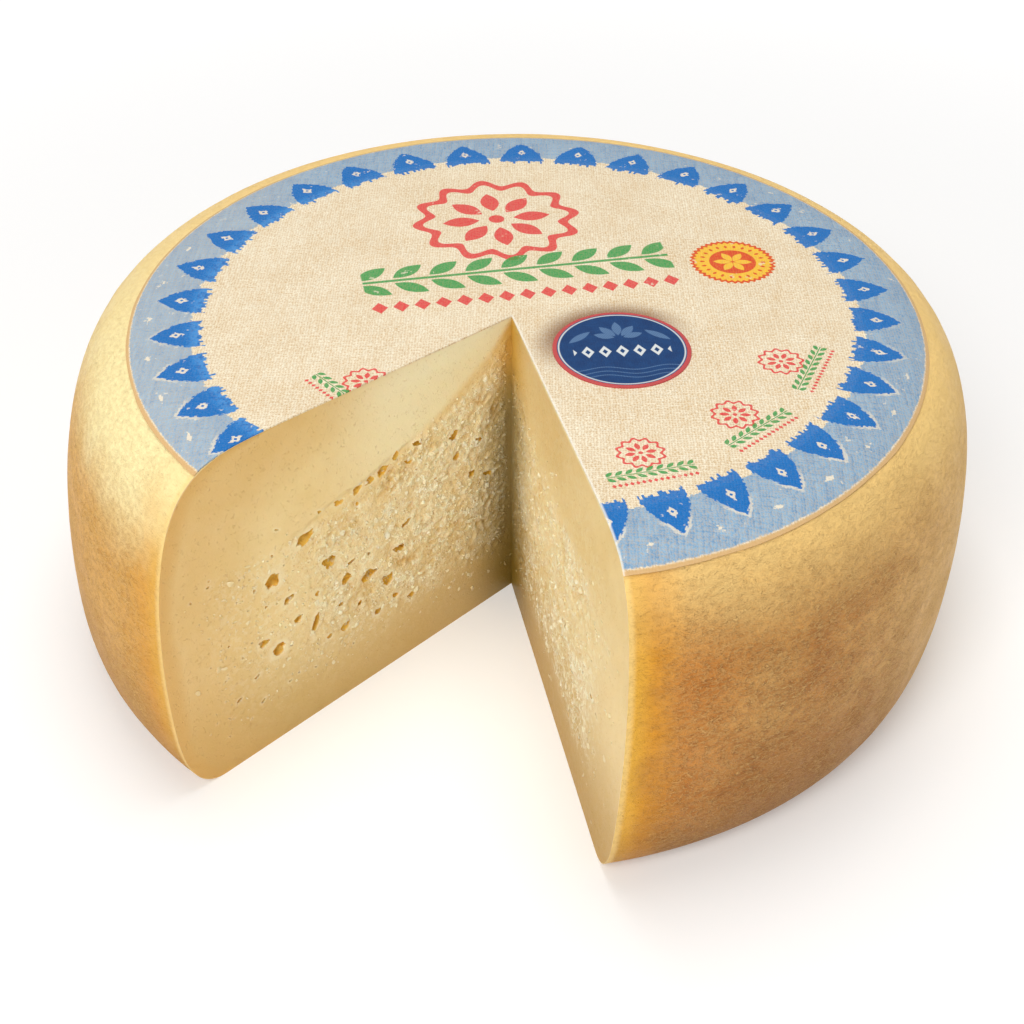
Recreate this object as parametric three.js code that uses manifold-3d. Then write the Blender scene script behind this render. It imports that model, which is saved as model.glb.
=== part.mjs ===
// A wheel of pressed cow's milk cheese with one wedge cut out of it.
// The wheel bulges like a barrel, widest low on its side, and leans a little to one side. A printed
// label is pressed onto its top and drapes over the start of the shoulder, and a small round badge lies
// on the label beside the cut. The knife went through cheese and label together.
// Millimetres, +Z up. The wheel stands on z = 0 and the origin is the middle of its footprint box.

import * as THREE from 'three';
import { mergeVertices } from 'three/addons/utils/BufferGeometryUtils.js';
import Module from 'manifold-3d';

const wasm = await Module();
wasm.setup();

// ---- driving dimensions: the wheel ----
const WHEEL_HEIGHT = 136;
const WIDEST_RADIUS = 178.9;
const WIDEST_HEIGHT = 36; // where the side is widest, above the board
const TOP_FLAT_RADIUS = 97.5; // inside this the top is level
const BASE_FLAT_RADIUS = 162; // inside this the underside is level
const SHOULDER_ROUNDNESS = { across: 6.1, up: 1.8 }; // superellipse powers above the widest line
const BASE_ROUNDNESS = { across: 2.4, up: 3.0 }; // and below it
const LEAN_PER_DEPTH = 0.0746; // how far the wheel's middle moves for each millimetre below the top
const LEAN_AZIMUTH = 89.6; // degrees, the way the foot of the wheel moves
const WHEEL_AXIS = new THREE.Vector2(-0.05, -7.4); // the middle of the top, from the footprint's middle

// ---- driving dimensions: the wedge that is gone ----
// Each cut runs outwards from the knife line, the inner corner where both cuts meet. The knife stood
// a little crooked, so the corner and both directions change slowly from the top to the bottom.
const CUT_TOP = { corner: new THREE.Vector2(-10.8, -10.7), left: -165.7, right: -103.6 };
const CUT_BASE = { corner: new THREE.Vector2(-6.3, -4.9), left: -161.8, right: -105.8 };
const CUT_REACH = 230; // how far the cutting body reaches from the corner
const CUT_OVERRUN = 8; // and how far it runs past the top and the bottom
const CUT_LEVELS = 12;

// ---- driving dimensions: the label and the badge ----
const LABEL_RADIUS = 147;
const LABEL_THICKNESS = 0.6;
const LABEL_MIDDLE = new THREE.Vector2(-2.5, -7.5); // from the wheel's axis
const BADGE_RADIUS = 24.8;
const BADGE_THICKNESS = 0.5;
const BADGE_MIDDLE = new THREE.Vector2(13.7, -48.6); // from the wheel's axis
const LAYER_GAP = 0.3; // between one layer and the next

const WHEEL_SEGMENTS = 120;
const SHOULDER_STEPS = 17;
const BASE_STEPS = 7;
const LABEL_SEGMENTS = 90;
const LABEL_STEPS = 9;
const BADGE_SEGMENTS = 64;

// One quarter of a superellipse: how far up (0 to 1) the curve stands at a share of the way across.
function quarterHeight(across, powers) {
  const share = Math.min(Math.max(across, 0), 1);
  return (1 - share ** powers.across) ** (1 / powers.up);
}

// Height of the wheel's top and shoulder at a distance from its axis.
function shoulderHeight(radius) {
  const across = (radius - TOP_FLAT_RADIUS) / (WIDEST_RADIUS - TOP_FLAT_RADIUS);
  return WIDEST_HEIGHT + (WHEEL_HEIGHT - WIDEST_HEIGHT) * quarterHeight(across, SHOULDER_ROUNDNESS);
}

// Points of a quarter curve from its flat end to the widest radius, closer together where it turns.
function quarterPoints(flatRadius, flatHeight, powers, steps) {
  const points = [];
  for (let step = 0; step <= steps; step += 1) {
    const turn = (step / steps) * (Math.PI / 2);
    const across = Math.sin(turn) ** (2 / powers.across);
    const up = Math.cos(turn) ** (2 / powers.up);
    const radius = flatRadius + (WIDEST_RADIUS - flatRadius) * across;
    points.push(new THREE.Vector2(radius, WIDEST_HEIGHT + (flatHeight - WIDEST_HEIGHT) * up));
  }
  return points;
}

// The wheel's middle at a height: it moves sideways as the side goes down.
function axisAt(height) {
  const azimuth = THREE.MathUtils.degToRad(LEAN_AZIMUTH);
  const shift = LEAN_PER_DEPTH * (WHEEL_HEIGHT - height);
  return new THREE.Vector2(shift * Math.cos(azimuth), shift * Math.sin(azimuth));
}

// Height of the leaning wheel's top surface over a point given from the wheel's axis.
function topSurfaceHeight(x, y) {
  let height = WHEEL_HEIGHT;
  for (let pass = 0; pass < 6; pass += 1) {
    const axis = axisAt(height);
    height = shoulderHeight(Math.hypot(x - axis.x, y - axis.y));
  }
  return height;
}

function moveVertices(geometry, move) {
  const position = geometry.getAttribute('position');
  const vertex = new THREE.Vector3();
  for (let index = 0; index < position.count; index += 1) {
    vertex.fromBufferAttribute(position, index);
    move(vertex);
    position.setXYZ(index, vertex.x, vertex.y, vertex.z);
  }
  return geometry;
}

// Booleans: a three.js geometry to a solid and back.
function toSolid(geometry) {
  const bare = geometry.clone();
  bare.deleteAttribute('normal');
  bare.deleteAttribute('uv');
  const merged = mergeVertices(bare, 1e-4);
  const mesh = new wasm.Mesh({
    numProp: 3,
    vertProperties: new Float32Array(merged.getAttribute('position').array),
    triVerts: new Uint32Array(merged.getIndex().array),
  });
  return new wasm.Manifold(mesh);
}

function toGeometry(solid) {
  const mesh = solid.getMesh();
  const geometry = new THREE.BufferGeometry();
  geometry.setAttribute('position', new THREE.BufferAttribute(new Float32Array(mesh.vertProperties), 3));
  geometry.setIndex(new THREE.BufferAttribute(new Uint32Array(mesh.triVerts), 1));
  geometry.computeVertexNormals();
  return geometry;
}

// The whole wheel, turned from its profile and then leaned level by level.
function wholeWheel() {
  const base = quarterPoints(BASE_FLAT_RADIUS, 0, BASE_ROUNDNESS, BASE_STEPS);
  const shoulder = quarterPoints(TOP_FLAT_RADIUS, WHEEL_HEIGHT, SHOULDER_ROUNDNESS, SHOULDER_STEPS);
  const profile = [
    new THREE.Vector2(0, 0),
    ...base.slice(0, -1),
    ...shoulder.reverse(),
    new THREE.Vector2(0, WHEEL_HEIGHT),
  ];
  const geometry = new THREE.LatheGeometry(profile, WHEEL_SEGMENTS).rotateX(Math.PI / 2);
  return moveVertices(geometry, (vertex) => {
    const axis = axisAt(vertex.z);
    vertex.x += axis.x;
    vertex.y += axis.y;
  });
}

// The cutting body: a three-cornered column whose sides twist slowly from level to level.
function wedgeCutter() {
  const toPoint = (corner, degrees, height) => {
    const azimuth = THREE.MathUtils.degToRad(degrees);
    const x = corner.x + CUT_REACH * Math.cos(azimuth);
    return [x, corner.y + CUT_REACH * Math.sin(azimuth), height];
  };
  const positions = [];
  for (let level = 0; level <= CUT_LEVELS; level += 1) {
    const depth = -CUT_OVERRUN + ((WHEEL_HEIGHT + 2 * CUT_OVERRUN) * level) / CUT_LEVELS;
    const share = depth / WHEEL_HEIGHT;
    const height = WHEEL_HEIGHT - depth;
    const corner = CUT_TOP.corner.clone().lerp(CUT_BASE.corner, share);
    positions.push(corner.x, corner.y, height);
    positions.push(...toPoint(corner, THREE.MathUtils.lerp(CUT_TOP.left, CUT_BASE.left, share), height));
    positions.push(...toPoint(corner, THREE.MathUtils.lerp(CUT_TOP.right, CUT_BASE.right, share), height));
  }
  const last = 3 * CUT_LEVELS;
  const triangles = [0, 1, 2, last, last + 2, last + 1];
  for (let level = 0; level < CUT_LEVELS; level += 1) {
    for (let side = 0; side < 3; side += 1) {
      const upper = 3 * level + side;
      const upperNext = 3 * level + ((side + 1) % 3);
      triangles.push(upper, upper + 3, upperNext);
      triangles.push(upperNext, upper + 3, upperNext + 3);
    }
  }
  const geometry = new THREE.BufferGeometry();
  geometry.setAttribute('position', new THREE.Float32BufferAttribute(positions, 3));
  geometry.setIndex(triangles);
  return geometry;
}

// The label: a thin disc turned flat, then laid on the top surface of the wheel. Its rings stand closer
// together towards the edge, where the shoulder bends it most.
function labelDisc() {
  const radii = [0];
  const drapeStart = TOP_FLAT_RADIUS - LABEL_MIDDLE.length();
  for (let step = 0; step <= LABEL_STEPS; step += 1) {
    radii.push(THREE.MathUtils.lerp(drapeStart, LABEL_RADIUS, Math.sqrt(step / LABEL_STEPS)));
  }
  const underside = radii.map((radius) => new THREE.Vector2(radius, 0));
  const face = radii.map((radius) => new THREE.Vector2(radius, LABEL_THICKNESS)).reverse();
  const geometry = new THREE.LatheGeometry([...underside, ...face], LABEL_SEGMENTS).rotateX(Math.PI / 2);
  return moveVertices(geometry, (vertex) => {
    vertex.x += LABEL_MIDDLE.x;
    vertex.y += LABEL_MIDDLE.y;
    vertex.z += topSurfaceHeight(vertex.x, vertex.y) + LAYER_GAP;
  });
}

function badgeDisc() {
  const height = WHEEL_HEIGHT + LAYER_GAP + LABEL_THICKNESS + LAYER_GAP + BADGE_THICKNESS / 2;
  return new THREE.CylinderGeometry(BADGE_RADIUS, BADGE_RADIUS, BADGE_THICKNESS, BADGE_SEGMENTS)
    .rotateX(Math.PI / 2)
    .translate(BADGE_MIDDLE.x, BADGE_MIDDLE.y, height);
}

const cutter = toSolid(wedgeCutter());
const cheeseGeometry = toGeometry(toSolid(wholeWheel()).subtract(cutter));
const labelGeometry = toGeometry(toSolid(labelDisc()).subtract(cutter));

const cheese = new THREE.Mesh(
  cheeseGeometry,
  new THREE.MeshStandardMaterial({ color: 0xe3bf78, roughness: 0.55, metalness: 0 }),
);
cheese.name = 'cheese_wheel';

const label = new THREE.Mesh(
  labelGeometry,
  new THREE.MeshStandardMaterial({ color: 0xead9b4, roughness: 0.85, metalness: 0 }),
);
label.name = 'top_label';

const badge = new THREE.Mesh(
  badgeDisc(),
  new THREE.MeshStandardMaterial({ color: 0x1f4a86, roughness: 0.5, metalness: 0 }),
);
badge.name = 'round_badge';

const wheel = new THREE.Group();
wheel.position.set(WHEEL_AXIS.x, WHEEL_AXIS.y, 0);
wheel.add(cheese, label, badge);

const object = new THREE.Group();
object.add(wheel);

export default object;
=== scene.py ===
# %% [markdown]
# # A cut wheel of pressed cow's milk cheese
# The real wheel is curd that was pressed in a hoop, salted and aged for some weeks, so it has a thin
# brushed rind and a pale, slightly open paste. A cloth-like printed label was pressed onto its top, a
# small round badge was stuck on the label, and then one wedge was cut out with a long knife.
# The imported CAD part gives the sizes. This script builds the looks around it, piece by piece.

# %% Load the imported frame
import math

import bmesh
import bpy
import numpy as np
from mathutils import Matrix, Vector


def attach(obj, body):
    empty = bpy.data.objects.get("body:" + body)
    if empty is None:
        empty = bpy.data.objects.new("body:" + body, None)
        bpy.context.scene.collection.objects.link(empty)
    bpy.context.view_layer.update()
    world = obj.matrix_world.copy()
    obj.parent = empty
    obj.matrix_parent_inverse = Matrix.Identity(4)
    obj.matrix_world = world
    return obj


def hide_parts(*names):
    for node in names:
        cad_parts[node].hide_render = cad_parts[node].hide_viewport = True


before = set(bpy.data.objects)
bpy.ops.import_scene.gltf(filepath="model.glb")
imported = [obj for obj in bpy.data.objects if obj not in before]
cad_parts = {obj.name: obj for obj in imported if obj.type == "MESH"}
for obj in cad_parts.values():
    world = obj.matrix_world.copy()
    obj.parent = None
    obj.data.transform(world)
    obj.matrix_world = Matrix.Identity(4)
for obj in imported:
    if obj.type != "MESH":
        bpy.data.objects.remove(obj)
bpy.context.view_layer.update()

scene = bpy.context.scene
MM = 0.001
SHARP_ANGLE = math.radians(48)


# %% [markdown]
# ## Objects and meshes
# Every piece here is a mesh from plain points that stands at the frame's own origin. Blender's add-mesh
# tools could start each one, but they make round shapes and not these, so a few functions serve them all.


# %% Objects, meshes and grids
def placed(name, data):
    """A new object in the scene, at the origin and unturned."""
    made = bpy.data.objects.new(name, data)
    scene.collection.objects.link(made)
    return made


def new_mesh(name, points, faces):
    """A mesh from points in millimetres."""
    mesh = bpy.data.meshes.new(name)
    mesh.from_pydata((np.asarray(points, float) * MM).tolist(), [], faces)
    return mesh


def shade_smooth(mesh):
    """Smooth shading, except across the sharp edges."""
    mesh.polygons.foreach_set("use_smooth", [True] * len(mesh.polygons))
    mesh.set_sharp_from_angle(angle=SHARP_ANGLE)


def grid_quads(grid, flip=False):
    """The four-sided faces between a grid's neighbouring points."""
    a, b = grid[:-1, :-1].ravel(), grid[:-1, 1:].ravel()
    c, d = grid[1:, 1:].ravel(), grid[1:, :-1].ravel()
    return np.column_stack([d, c, b, a] if flip else [a, b, c, d]).tolist()


# %% [markdown]
# ## The camera
# The photograph looks down on the wheel from its open side. A camera can be placed by eye, or worked out
# from outlines that are known on the object. Here it was worked out from the label's rings, the edges of
# both cuts and the silhouette, so its place, heading, pitch and lens are plain numbers.

# %% Camera
CAMERA_PLACE = Vector((-0.2429, -0.4568, 0.4392))
CAMERA_HEADING = math.radians(28)
CAMERA_PITCH = math.radians(38.5)
CAMERA_ROLL = math.radians(0.81)
CAMERA_LENS = 55.16
SENSOR_WIDTH = 36


def turned_camera(heading, pitch, roll):
    """The camera's axes as a matrix, from a compass heading, a downward pitch and a small roll."""
    level = math.cos(pitch)
    forward = Vector((math.sin(heading) * level, math.cos(heading) * level, -math.sin(pitch)))
    level_right = Vector((math.cos(heading), -math.sin(heading), 0))
    level_up = level_right.cross(forward)
    right = math.cos(roll) * level_right + math.sin(roll) * level_up
    up = math.cos(roll) * level_up - math.sin(roll) * level_right
    return Matrix((right, up, -forward)).transposed()


lens = bpy.data.cameras.new("photo_lens")
lens.lens = CAMERA_LENS
lens.sensor_width = SENSOR_WIDTH
lens.clip_start = 0.01
camera = placed("photo_camera", lens)
camera.matrix_world = turned_camera(CAMERA_HEADING, CAMERA_PITCH, CAMERA_ROLL).to_4x4()
camera.location = CAMERA_PLACE
scene.camera = camera
print("camera distance, m:", round(CAMERA_PLACE.length, 3))

# %% [markdown]
# ## Arithmetic for node trees
# A material here is mostly sums over places on the surface, such as how far a point is from a circle.
# Such a sum could be wired by hand, node by node. A small class that turns Python's own signs into Math
# nodes keeps each formula readable, and the tree that comes out is the same.


# %% Node bench
def paint(red, green, blue):
    """A colour as a screen shows it, 0 to 255, turned into the linear values that shaders use."""
    linear = [
        (value / 255 / 12.92) if value <= 10 else ((value / 255 + 0.055) / 1.055) ** 2.4
        for value in (red, green, blue)
    ]
    return (*linear, 1)


class Signal:
    """One output socket. Adding, multiplying and so on make Math nodes."""

    def __init__(self, bench, socket):
        self.bench = bench
        self.socket = socket

    def __add__(self, other):
        return self.bench.math("ADD", self, other)

    def __sub__(self, other):
        return self.bench.math("SUBTRACT", self, other)

    def __rsub__(self, other):
        return self.bench.math("SUBTRACT", other, self)

    def __mul__(self, other):
        return self.bench.math("MULTIPLY", self, other)

    def __truediv__(self, other):
        return self.bench.math("DIVIDE", self, other)

    def __pow__(self, other):
        return self.bench.math("POWER", self, other)

    def __abs__(self):
        return self.bench.math("ABSOLUTE", self)

    __radd__ = __add__
    __rmul__ = __mul__


class Bench:
    """Adds nodes to one tree, left to right, and hands back their outputs as signals."""

    def __init__(self, tree):
        self.tree = tree
        self.made = 0

    def feed(self, socket, value):
        if isinstance(value, Signal):
            self.tree.links.new(value.socket, socket)
        else:
            socket.default_value = value

    def node(self, kind, inputs=None, **settings):
        made = self.tree.nodes.new(kind)
        made.location = (180 * (self.made // 6), -220 * (self.made % 6))
        self.made += 1
        for name, value in settings.items():
            setattr(made, name, value)
        for name, value in (inputs or {}).items():
            self.feed(made.inputs[name], value)
        return made

    def out(self, made, name=0):
        return Signal(self, made.outputs[name])

    def math(self, operation, *values):
        inputs = dict(enumerate(values))
        return self.out(self.node("ShaderNodeMath", inputs, operation=operation))

    def most(self, first, *others):
        for other in others:
            first = self.math("MAXIMUM", first, other)
        return first

    def vector(self, operation, *values, output=0):
        inputs = dict(enumerate(values))
        return self.out(self.node("ShaderNodeVectorMath", inputs, operation=operation), output)

    def length(self, place):
        return self.vector("LENGTH", place, output="Value")

    def fading(self, value, low, high):
        """1 below low, 0 above high, smooth between."""
        return self.between(value, low, high, 1, 0)

    def folded(self, steps, pitch):
        """How far it is from the nearest whole step, where one step is as long as the pitch."""
        return (steps - self.math("ROUND", steps)) * pitch

    def between(self, value, low, high, start=0.0, end=1.0):
        """Goes smoothly from start at low to end at high."""
        inputs = {"Value": value, "From Min": low, "From Max": high, "To Min": start, "To Max": end}
        return self.out(self.node("ShaderNodeMapRange", inputs, interpolation_type="SMOOTHSTEP"))

    def inside(self, value, softness):
        """1 where value is above nothing, 0 where it is below, with an edge of that softness."""
        return self.between(value, -softness, softness)

    def colour(self, factor, first, second):
        made = self.node("ShaderNodeMix", data_type="RGBA", clamp_result=True)
        self.feed(made.inputs[0], factor)
        self.feed(made.inputs[6], first)
        self.feed(made.inputs[7], second)
        return self.out(made, 2)

    def either(self, mask, first, second):
        """One of two places: the second where the mask is 1."""
        made = self.node("ShaderNodeMix", data_type="VECTOR")
        self.feed(made.inputs[0], mask)
        self.feed(made.inputs[4], first)
        self.feed(made.inputs[5], second)
        return self.out(made, 1)

    def noise(self, place, size, detail=2.0, roughness=0.5):
        inputs = {"Vector": place, "Scale": 1 / size, "Detail": detail, "Roughness": roughness}
        return self.out(self.node("ShaderNodeTexNoise", inputs), "Fac")

    def chance(self, place):
        """A random value from 0 to 1 that is the same wherever the place is the same."""
        return self.out(self.node("ShaderNodeTexWhiteNoise", {"Vector": place}), "Value")

    def parts(self, place):
        made = self.node("ShaderNodeSeparateXYZ", {0: place})
        return self.out(made, 0), self.out(made, 1), self.out(made, 2)

    def place(self, x, y, z=0.0):
        return self.out(self.node("ShaderNodeCombineXYZ", {0: x, 1: y, 2: z}))

    def object_place(self):
        return self.out(self.node("ShaderNodeTexCoord"), "Object")

    def surface_place(self):
        return self.out(self.node("ShaderNodeUVMap", uv_map="UVMap"))

    def stored(self, name):
        return self.out(self.node("ShaderNodeAttribute", attribute_name=name), "Fac")

    def laid(self, place, centre=(0, 0, 0), turn=0.0, scale=1.0):
        """The same place as seen from a motif's own middle, turn and scale."""
        inputs = {"Vector": place, "Location": centre, "Rotation": (0, 0, turn), "Scale": (scale,) * 3}
        return self.out(self.node("ShaderNodeMapping", inputs, vector_type="TEXTURE"))

    def scaled(self, place, scale):
        return self.out(self.node("ShaderNodeVectorMath", {0: place, "Scale": scale}, operation="SCALE"))

    def use(self, tree, inputs, output=0):
        """Places a node group and hands back one output, or several by name."""
        made = self.node("ShaderNodeGroup", node_tree=tree)
        for name, value in inputs.items():
            self.feed(made.inputs[name], value)
        if isinstance(output, tuple):
            return [self.out(made, name) for name in output]
        return self.out(made, output)

    def give(self, end, values):
        """Feeds a group's outputs and hands back the finished tree."""
        for name, value in values.items():
            self.feed(end.inputs[name], value)
        return self.tree


def new_group(name, inputs, outputs):
    """An empty group: its inputs are numbers with a usual value, or places where that is None."""
    tree = bpy.data.node_groups.new(name, "ShaderNodeTree")
    for socket_name, usual in inputs.items():
        kind = "NodeSocketVector" if usual is None else "NodeSocketFloat"
        socket = tree.interface.new_socket(socket_name, in_out="INPUT", socket_type=kind)
        if usual is not None:
            socket.default_value = usual
    for socket_name in outputs:
        tree.interface.new_socket(socket_name, in_out="OUTPUT", socket_type="NodeSocketFloat")
    bench = Bench(tree)
    entry = bench.node("NodeGroupInput")
    given = {socket_name: bench.out(entry, socket_name) for socket_name in inputs}
    return bench, given, bench.node("NodeGroupOutput")


def new_material(name):
    """A material with one Principled BSDF, and the bench to dress it with."""
    material = bpy.data.materials.new(name)
    material.use_nodes = True
    material.node_tree.nodes.clear()
    bench = Bench(material.node_tree)
    shader = bench.node("ShaderNodeBsdfPrincipled")
    output = bench.node("ShaderNodeOutputMaterial")
    bench.tree.links.new(shader.outputs[0], output.inputs["Surface"])
    return material, bench, shader


def wire_up(bench, shader, colour, roughness, uniform):
    """Feeds colour and roughness, and sets on the shader what is the same all over."""
    bench.feed(shader.inputs["Base Color"], colour)
    bench.feed(shader.inputs["Roughness"], roughness)
    for name, value in uniform.items():
        shader.inputs[name].default_value = value


def raise_bump(bench, shader, height, distance, strength):
    inputs = {"Height": height, "Distance": distance, "Strength": strength}
    bump = bench.node("ShaderNodeBump", inputs)
    bench.tree.links.new(bump.outputs[0], shader.inputs["Normal"])


print("mid grey on a screen is this to a shader:", round(paint(128, 128, 128)[0], 3))

# %% [markdown]
# ## Floor and light
# The photograph has a plain white ground and soft light with a clear side: the left shoulder shines and the
# inner corner is dark. A sky alone would light everything alike, so a weak even sky fills the shadows, a
# large soft lamp high on the left makes the shine, one above lights the label, and a faint low one keeps
# the right side from going dark. The floor gives off a little light of its own, more further out, so that
# it shows as white, and only near the wheel as a soft shadow.

# %% Floor and light
SKY_STRENGTH = 0.34
SKY_AS_SEEN = 0.95
FLOOR_SIDE = 9.0
FLOOR_GREY = 0.80
FLOOR_LIFT = {"near": 0.20, "far": 0.66}
LIFT_REACH = {"near": 0.25, "far": 1.3}


def area_lamp(name, place, aim_height, side, watts, tint):
    light = bpy.data.lights.new(name, "AREA")
    light.size = side
    light.energy = watts
    light.color = tint
    lamp = placed(name, light)
    lamp.location = place
    lamp.rotation_euler = (Vector((0, 0, aim_height)) - lamp.location).to_track_quat("-Z", "Y").to_euler()


sky = bpy.data.worlds.new("soft_sky")
sky.use_nodes = True
sky.node_tree.nodes["Background"].inputs["Color"].default_value = (1, 1, 1, 1)
sky_bench = Bench(sky.node_tree)
seen_directly = sky_bench.out(sky_bench.node("ShaderNodeLightPath"), "Is Camera Ray")
sky_strength = SKY_STRENGTH + seen_directly * (SKY_AS_SEEN - SKY_STRENGTH)
sky_bench.feed(sky.node_tree.nodes["Background"].inputs["Strength"], sky_strength)
scene.world = sky
scene.view_settings.view_transform = "Standard"

WARM, MILD, SOFT = (1, 0.985, 0.96), (1, 0.99, 0.975), (1, 0.99, 0.97)
LAMPS = [
    dict(name="key_softbox", place=(-0.88, -0.72, 1.15), aim_height=0.07, side=0.62, watts=12.5, tint=WARM),
    dict(name="top_softbox", place=(0.1, 0.2, 1.6), aim_height=0.1, side=0.9, watts=11, tint=MILD),
    dict(name="front_softbox", place=(0.55, -1.6, 0.8), aim_height=0.05, side=1.2, watts=1.5, tint=SOFT),
]
for lamp in LAMPS:
    area_lamp(**lamp)

half = FLOOR_SIDE / MM / 2
corners = [(-half, -half, 0), (half, -half, 0), (half, half, 0), (-half, half, 0)]
floor = placed("pale_floor", new_mesh("pale_floor", corners, [(0, 1, 2, 3)]))
floor_material, bench, shader = new_material("pale_floor")
wire_up(bench, shader, (FLOOR_GREY, FLOOR_GREY, FLOOR_GREY, 1), 0.8, {"Emission Color": (1, 1, 1, 1)})
reach = bench.length(bench.object_place())
lift = bench.between(reach, LIFT_REACH["near"], LIFT_REACH["far"], FLOOR_LIFT["near"], FLOOR_LIFT["far"])
bench.feed(shader.inputs["Emission Strength"], lift)
floor.data.materials.append(floor_material)

# %% [markdown]
# ## Uneven numbers
# Curd, rind and cloth are uneven at several sizes at once. Blender's displace modifier could shift the
# points, but it can't know where the knife tore the paste. So the unevenness is a function over points,
# smooth lumps at a lattice of random values, and layers of it at smaller and smaller sizes.


# %% Unevenness over points
def scattered(cells, seed):
    """A fixed random value from 0 to 1 for each whole-numbered cell."""
    spread = cells @ np.array([127.1, 311.7, 74.7]) + 17.31 * seed
    value = np.sin(spread) * 43758.5453
    return value - np.floor(value)


def lumps(points, size, seed):
    """Smooth random values from 0 to 1, with lumps of that size."""
    cell = np.floor(points / size)
    share = points / size - cell
    share = share * share * (3 - 2 * share)
    total = np.zeros(len(points))
    for corner in np.ndindex(2, 2, 2):
        weight = np.prod(np.where(corner, share, 1 - share), axis=1)
        total += weight * scattered(cell + np.array(corner), seed)
    return total


def layered(points, size, layers, seed):
    """Lumps at several sizes, each layer half the size and half the height of the last."""
    total = sum(lumps(points, size / 2**layer, seed + layer) / 2**layer for layer in range(layers))
    return total / sum(1 / 2**layer for layer in range(layers))


def flakes(across, up, size, seed):
    """Flat chips side by side: the random height of the chip that each point lies on, 0 to 1."""
    none = np.zeros(len(across))
    points = np.column_stack([across, up, none]) / size
    home = np.floor(points)
    nearest = np.full(len(points), 9.0)
    height = np.zeros(len(points))
    for step in np.ndindex(3, 3):
        cell = home + np.array([step[0] - 1, step[1] - 1, 0])
        chance = np.column_stack([scattered(cell, seed), scattered(cell, seed + 5), none])
        middle = cell + 0.1 + 0.8 * chance
        gap = np.hypot(points[:, 0] - middle[:, 0], points[:, 1] - middle[:, 1])
        tilt = (points[:, 0] - middle[:, 0]) * (scattered(cell, seed + 7) - 0.5)
        tilt += (points[:, 1] - middle[:, 1]) * (scattered(cell, seed + 8) - 0.5)
        closer = gap < nearest
        nearest = np.where(closer, gap, nearest)
        height = np.where(closer, scattered(cell, seed + 9) + 1.2 * tilt, height)
    return height


def ease(value, low, high):
    """0 below low, 1 above high, smooth between."""
    share = np.clip((value - low) / (high - low), 0, 1)
    return share * share * (3 - 2 * share)


trial = layered(np.column_stack([np.arange(200.0)] * 3), 8.0, 3, 1)
print("layered unevenness, least and most:", round(float(trial.min()), 2), round(float(trial.max()), 2))

# %% [markdown]
# ## The wheel's shape
# The side bulges like a barrel because the soft curd sank under its own weight, it is widest low down,
# and the whole wheel leans a little. These are the CAD part's own formulas, because Blender can't read
# that file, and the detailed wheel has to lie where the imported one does.

# %% Wheel formulas, in millimetres
WHEEL_HEIGHT = 136.0
WIDEST_RADIUS = 178.9
WIDEST_HEIGHT = 36.0
TOP_FLAT_RADIUS = 97.5
BASE_FLAT_RADIUS = 162.0
SHOULDER_ACROSS, SHOULDER_UP = 6.1, 1.8
BASE_ACROSS, BASE_UP = 2.4, 3.0
LEAN_PER_DEPTH = 0.0746
LEAN_AZIMUTH = math.radians(89.6)
WHEEL_AXIS = np.array([-0.05, -7.4])
KNIFE_CORNER = {"top": np.array([-10.8, -10.7]), "base": np.array([-6.3, -4.9])}
KNIFE_AZIMUTH = {
    "left": {"top": math.radians(-165.7), "base": math.radians(-161.8)},
    "right": {"top": math.radians(-103.6), "base": math.radians(-105.8)},
}


def wheel_radius(height):
    """The wheel's radius at a height."""
    above = np.clip((height - WIDEST_HEIGHT) / (WHEEL_HEIGHT - WIDEST_HEIGHT), 0, 1)
    below = np.clip((WIDEST_HEIGHT - height) / WIDEST_HEIGHT, 0, 1)
    shoulder = (1 - above**SHOULDER_UP) ** (1 / SHOULDER_ACROSS)
    foot = (1 - below**BASE_UP) ** (1 / BASE_ACROSS)
    upper = TOP_FLAT_RADIUS + (WIDEST_RADIUS - TOP_FLAT_RADIUS) * shoulder
    lower = BASE_FLAT_RADIUS + (WIDEST_RADIUS - BASE_FLAT_RADIUS) * foot
    return np.where(height >= WIDEST_HEIGHT, upper, lower)


def wheel_middle(height):
    """The middle of the leaning wheel at each height, as rows of x and y."""
    shift = LEAN_PER_DEPTH * (WHEEL_HEIGHT - np.asarray(height, float))
    direction = np.array([math.cos(LEAN_AZIMUTH), math.sin(LEAN_AZIMUTH)])
    return WHEEL_AXIS + shift[:, None] * direction


def top_height(x, y):
    """Height of the wheel's top and shoulder over points in the frame's x and y."""
    height = np.full(len(x), WHEEL_HEIGHT)
    for _ in range(6):
        middle = wheel_middle(height)
        radius = np.hypot(x - middle[:, 0], y - middle[:, 1])
        share = np.clip((radius - TOP_FLAT_RADIUS) / (WIDEST_RADIUS - TOP_FLAT_RADIUS), 0, 1)
        drop = (1 - share**SHOULDER_ACROSS) ** (1 / SHOULDER_UP)
        height = WIDEST_HEIGHT + (WHEEL_HEIGHT - WIDEST_HEIGHT) * drop
    return height


def knife_line(height):
    """The inner corner, where both cuts meet, at each height."""
    depth = ((WHEEL_HEIGHT - height) / WHEEL_HEIGHT)[:, None]
    return WHEEL_AXIS + (1 - depth) * KNIFE_CORNER["top"] + depth * KNIFE_CORNER["base"]


def knife_azimuth(side, height):
    """The direction in which a cut runs outwards at each height."""
    depth = (WHEEL_HEIGHT - height) / WHEEL_HEIGHT
    return (1 - depth) * KNIFE_AZIMUTH[side]["top"] + depth * KNIFE_AZIMUTH[side]["base"]


def towards(azimuth):
    return np.column_stack([np.cos(azimuth), np.sin(azimuth)])


def out_of_paste(side, along):
    """The level directions straight out of a cut, for rows of directions along it."""
    return np.column_stack([-along[:, 1], along[:, 0]]) * (1 if side == "left" else -1)


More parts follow.
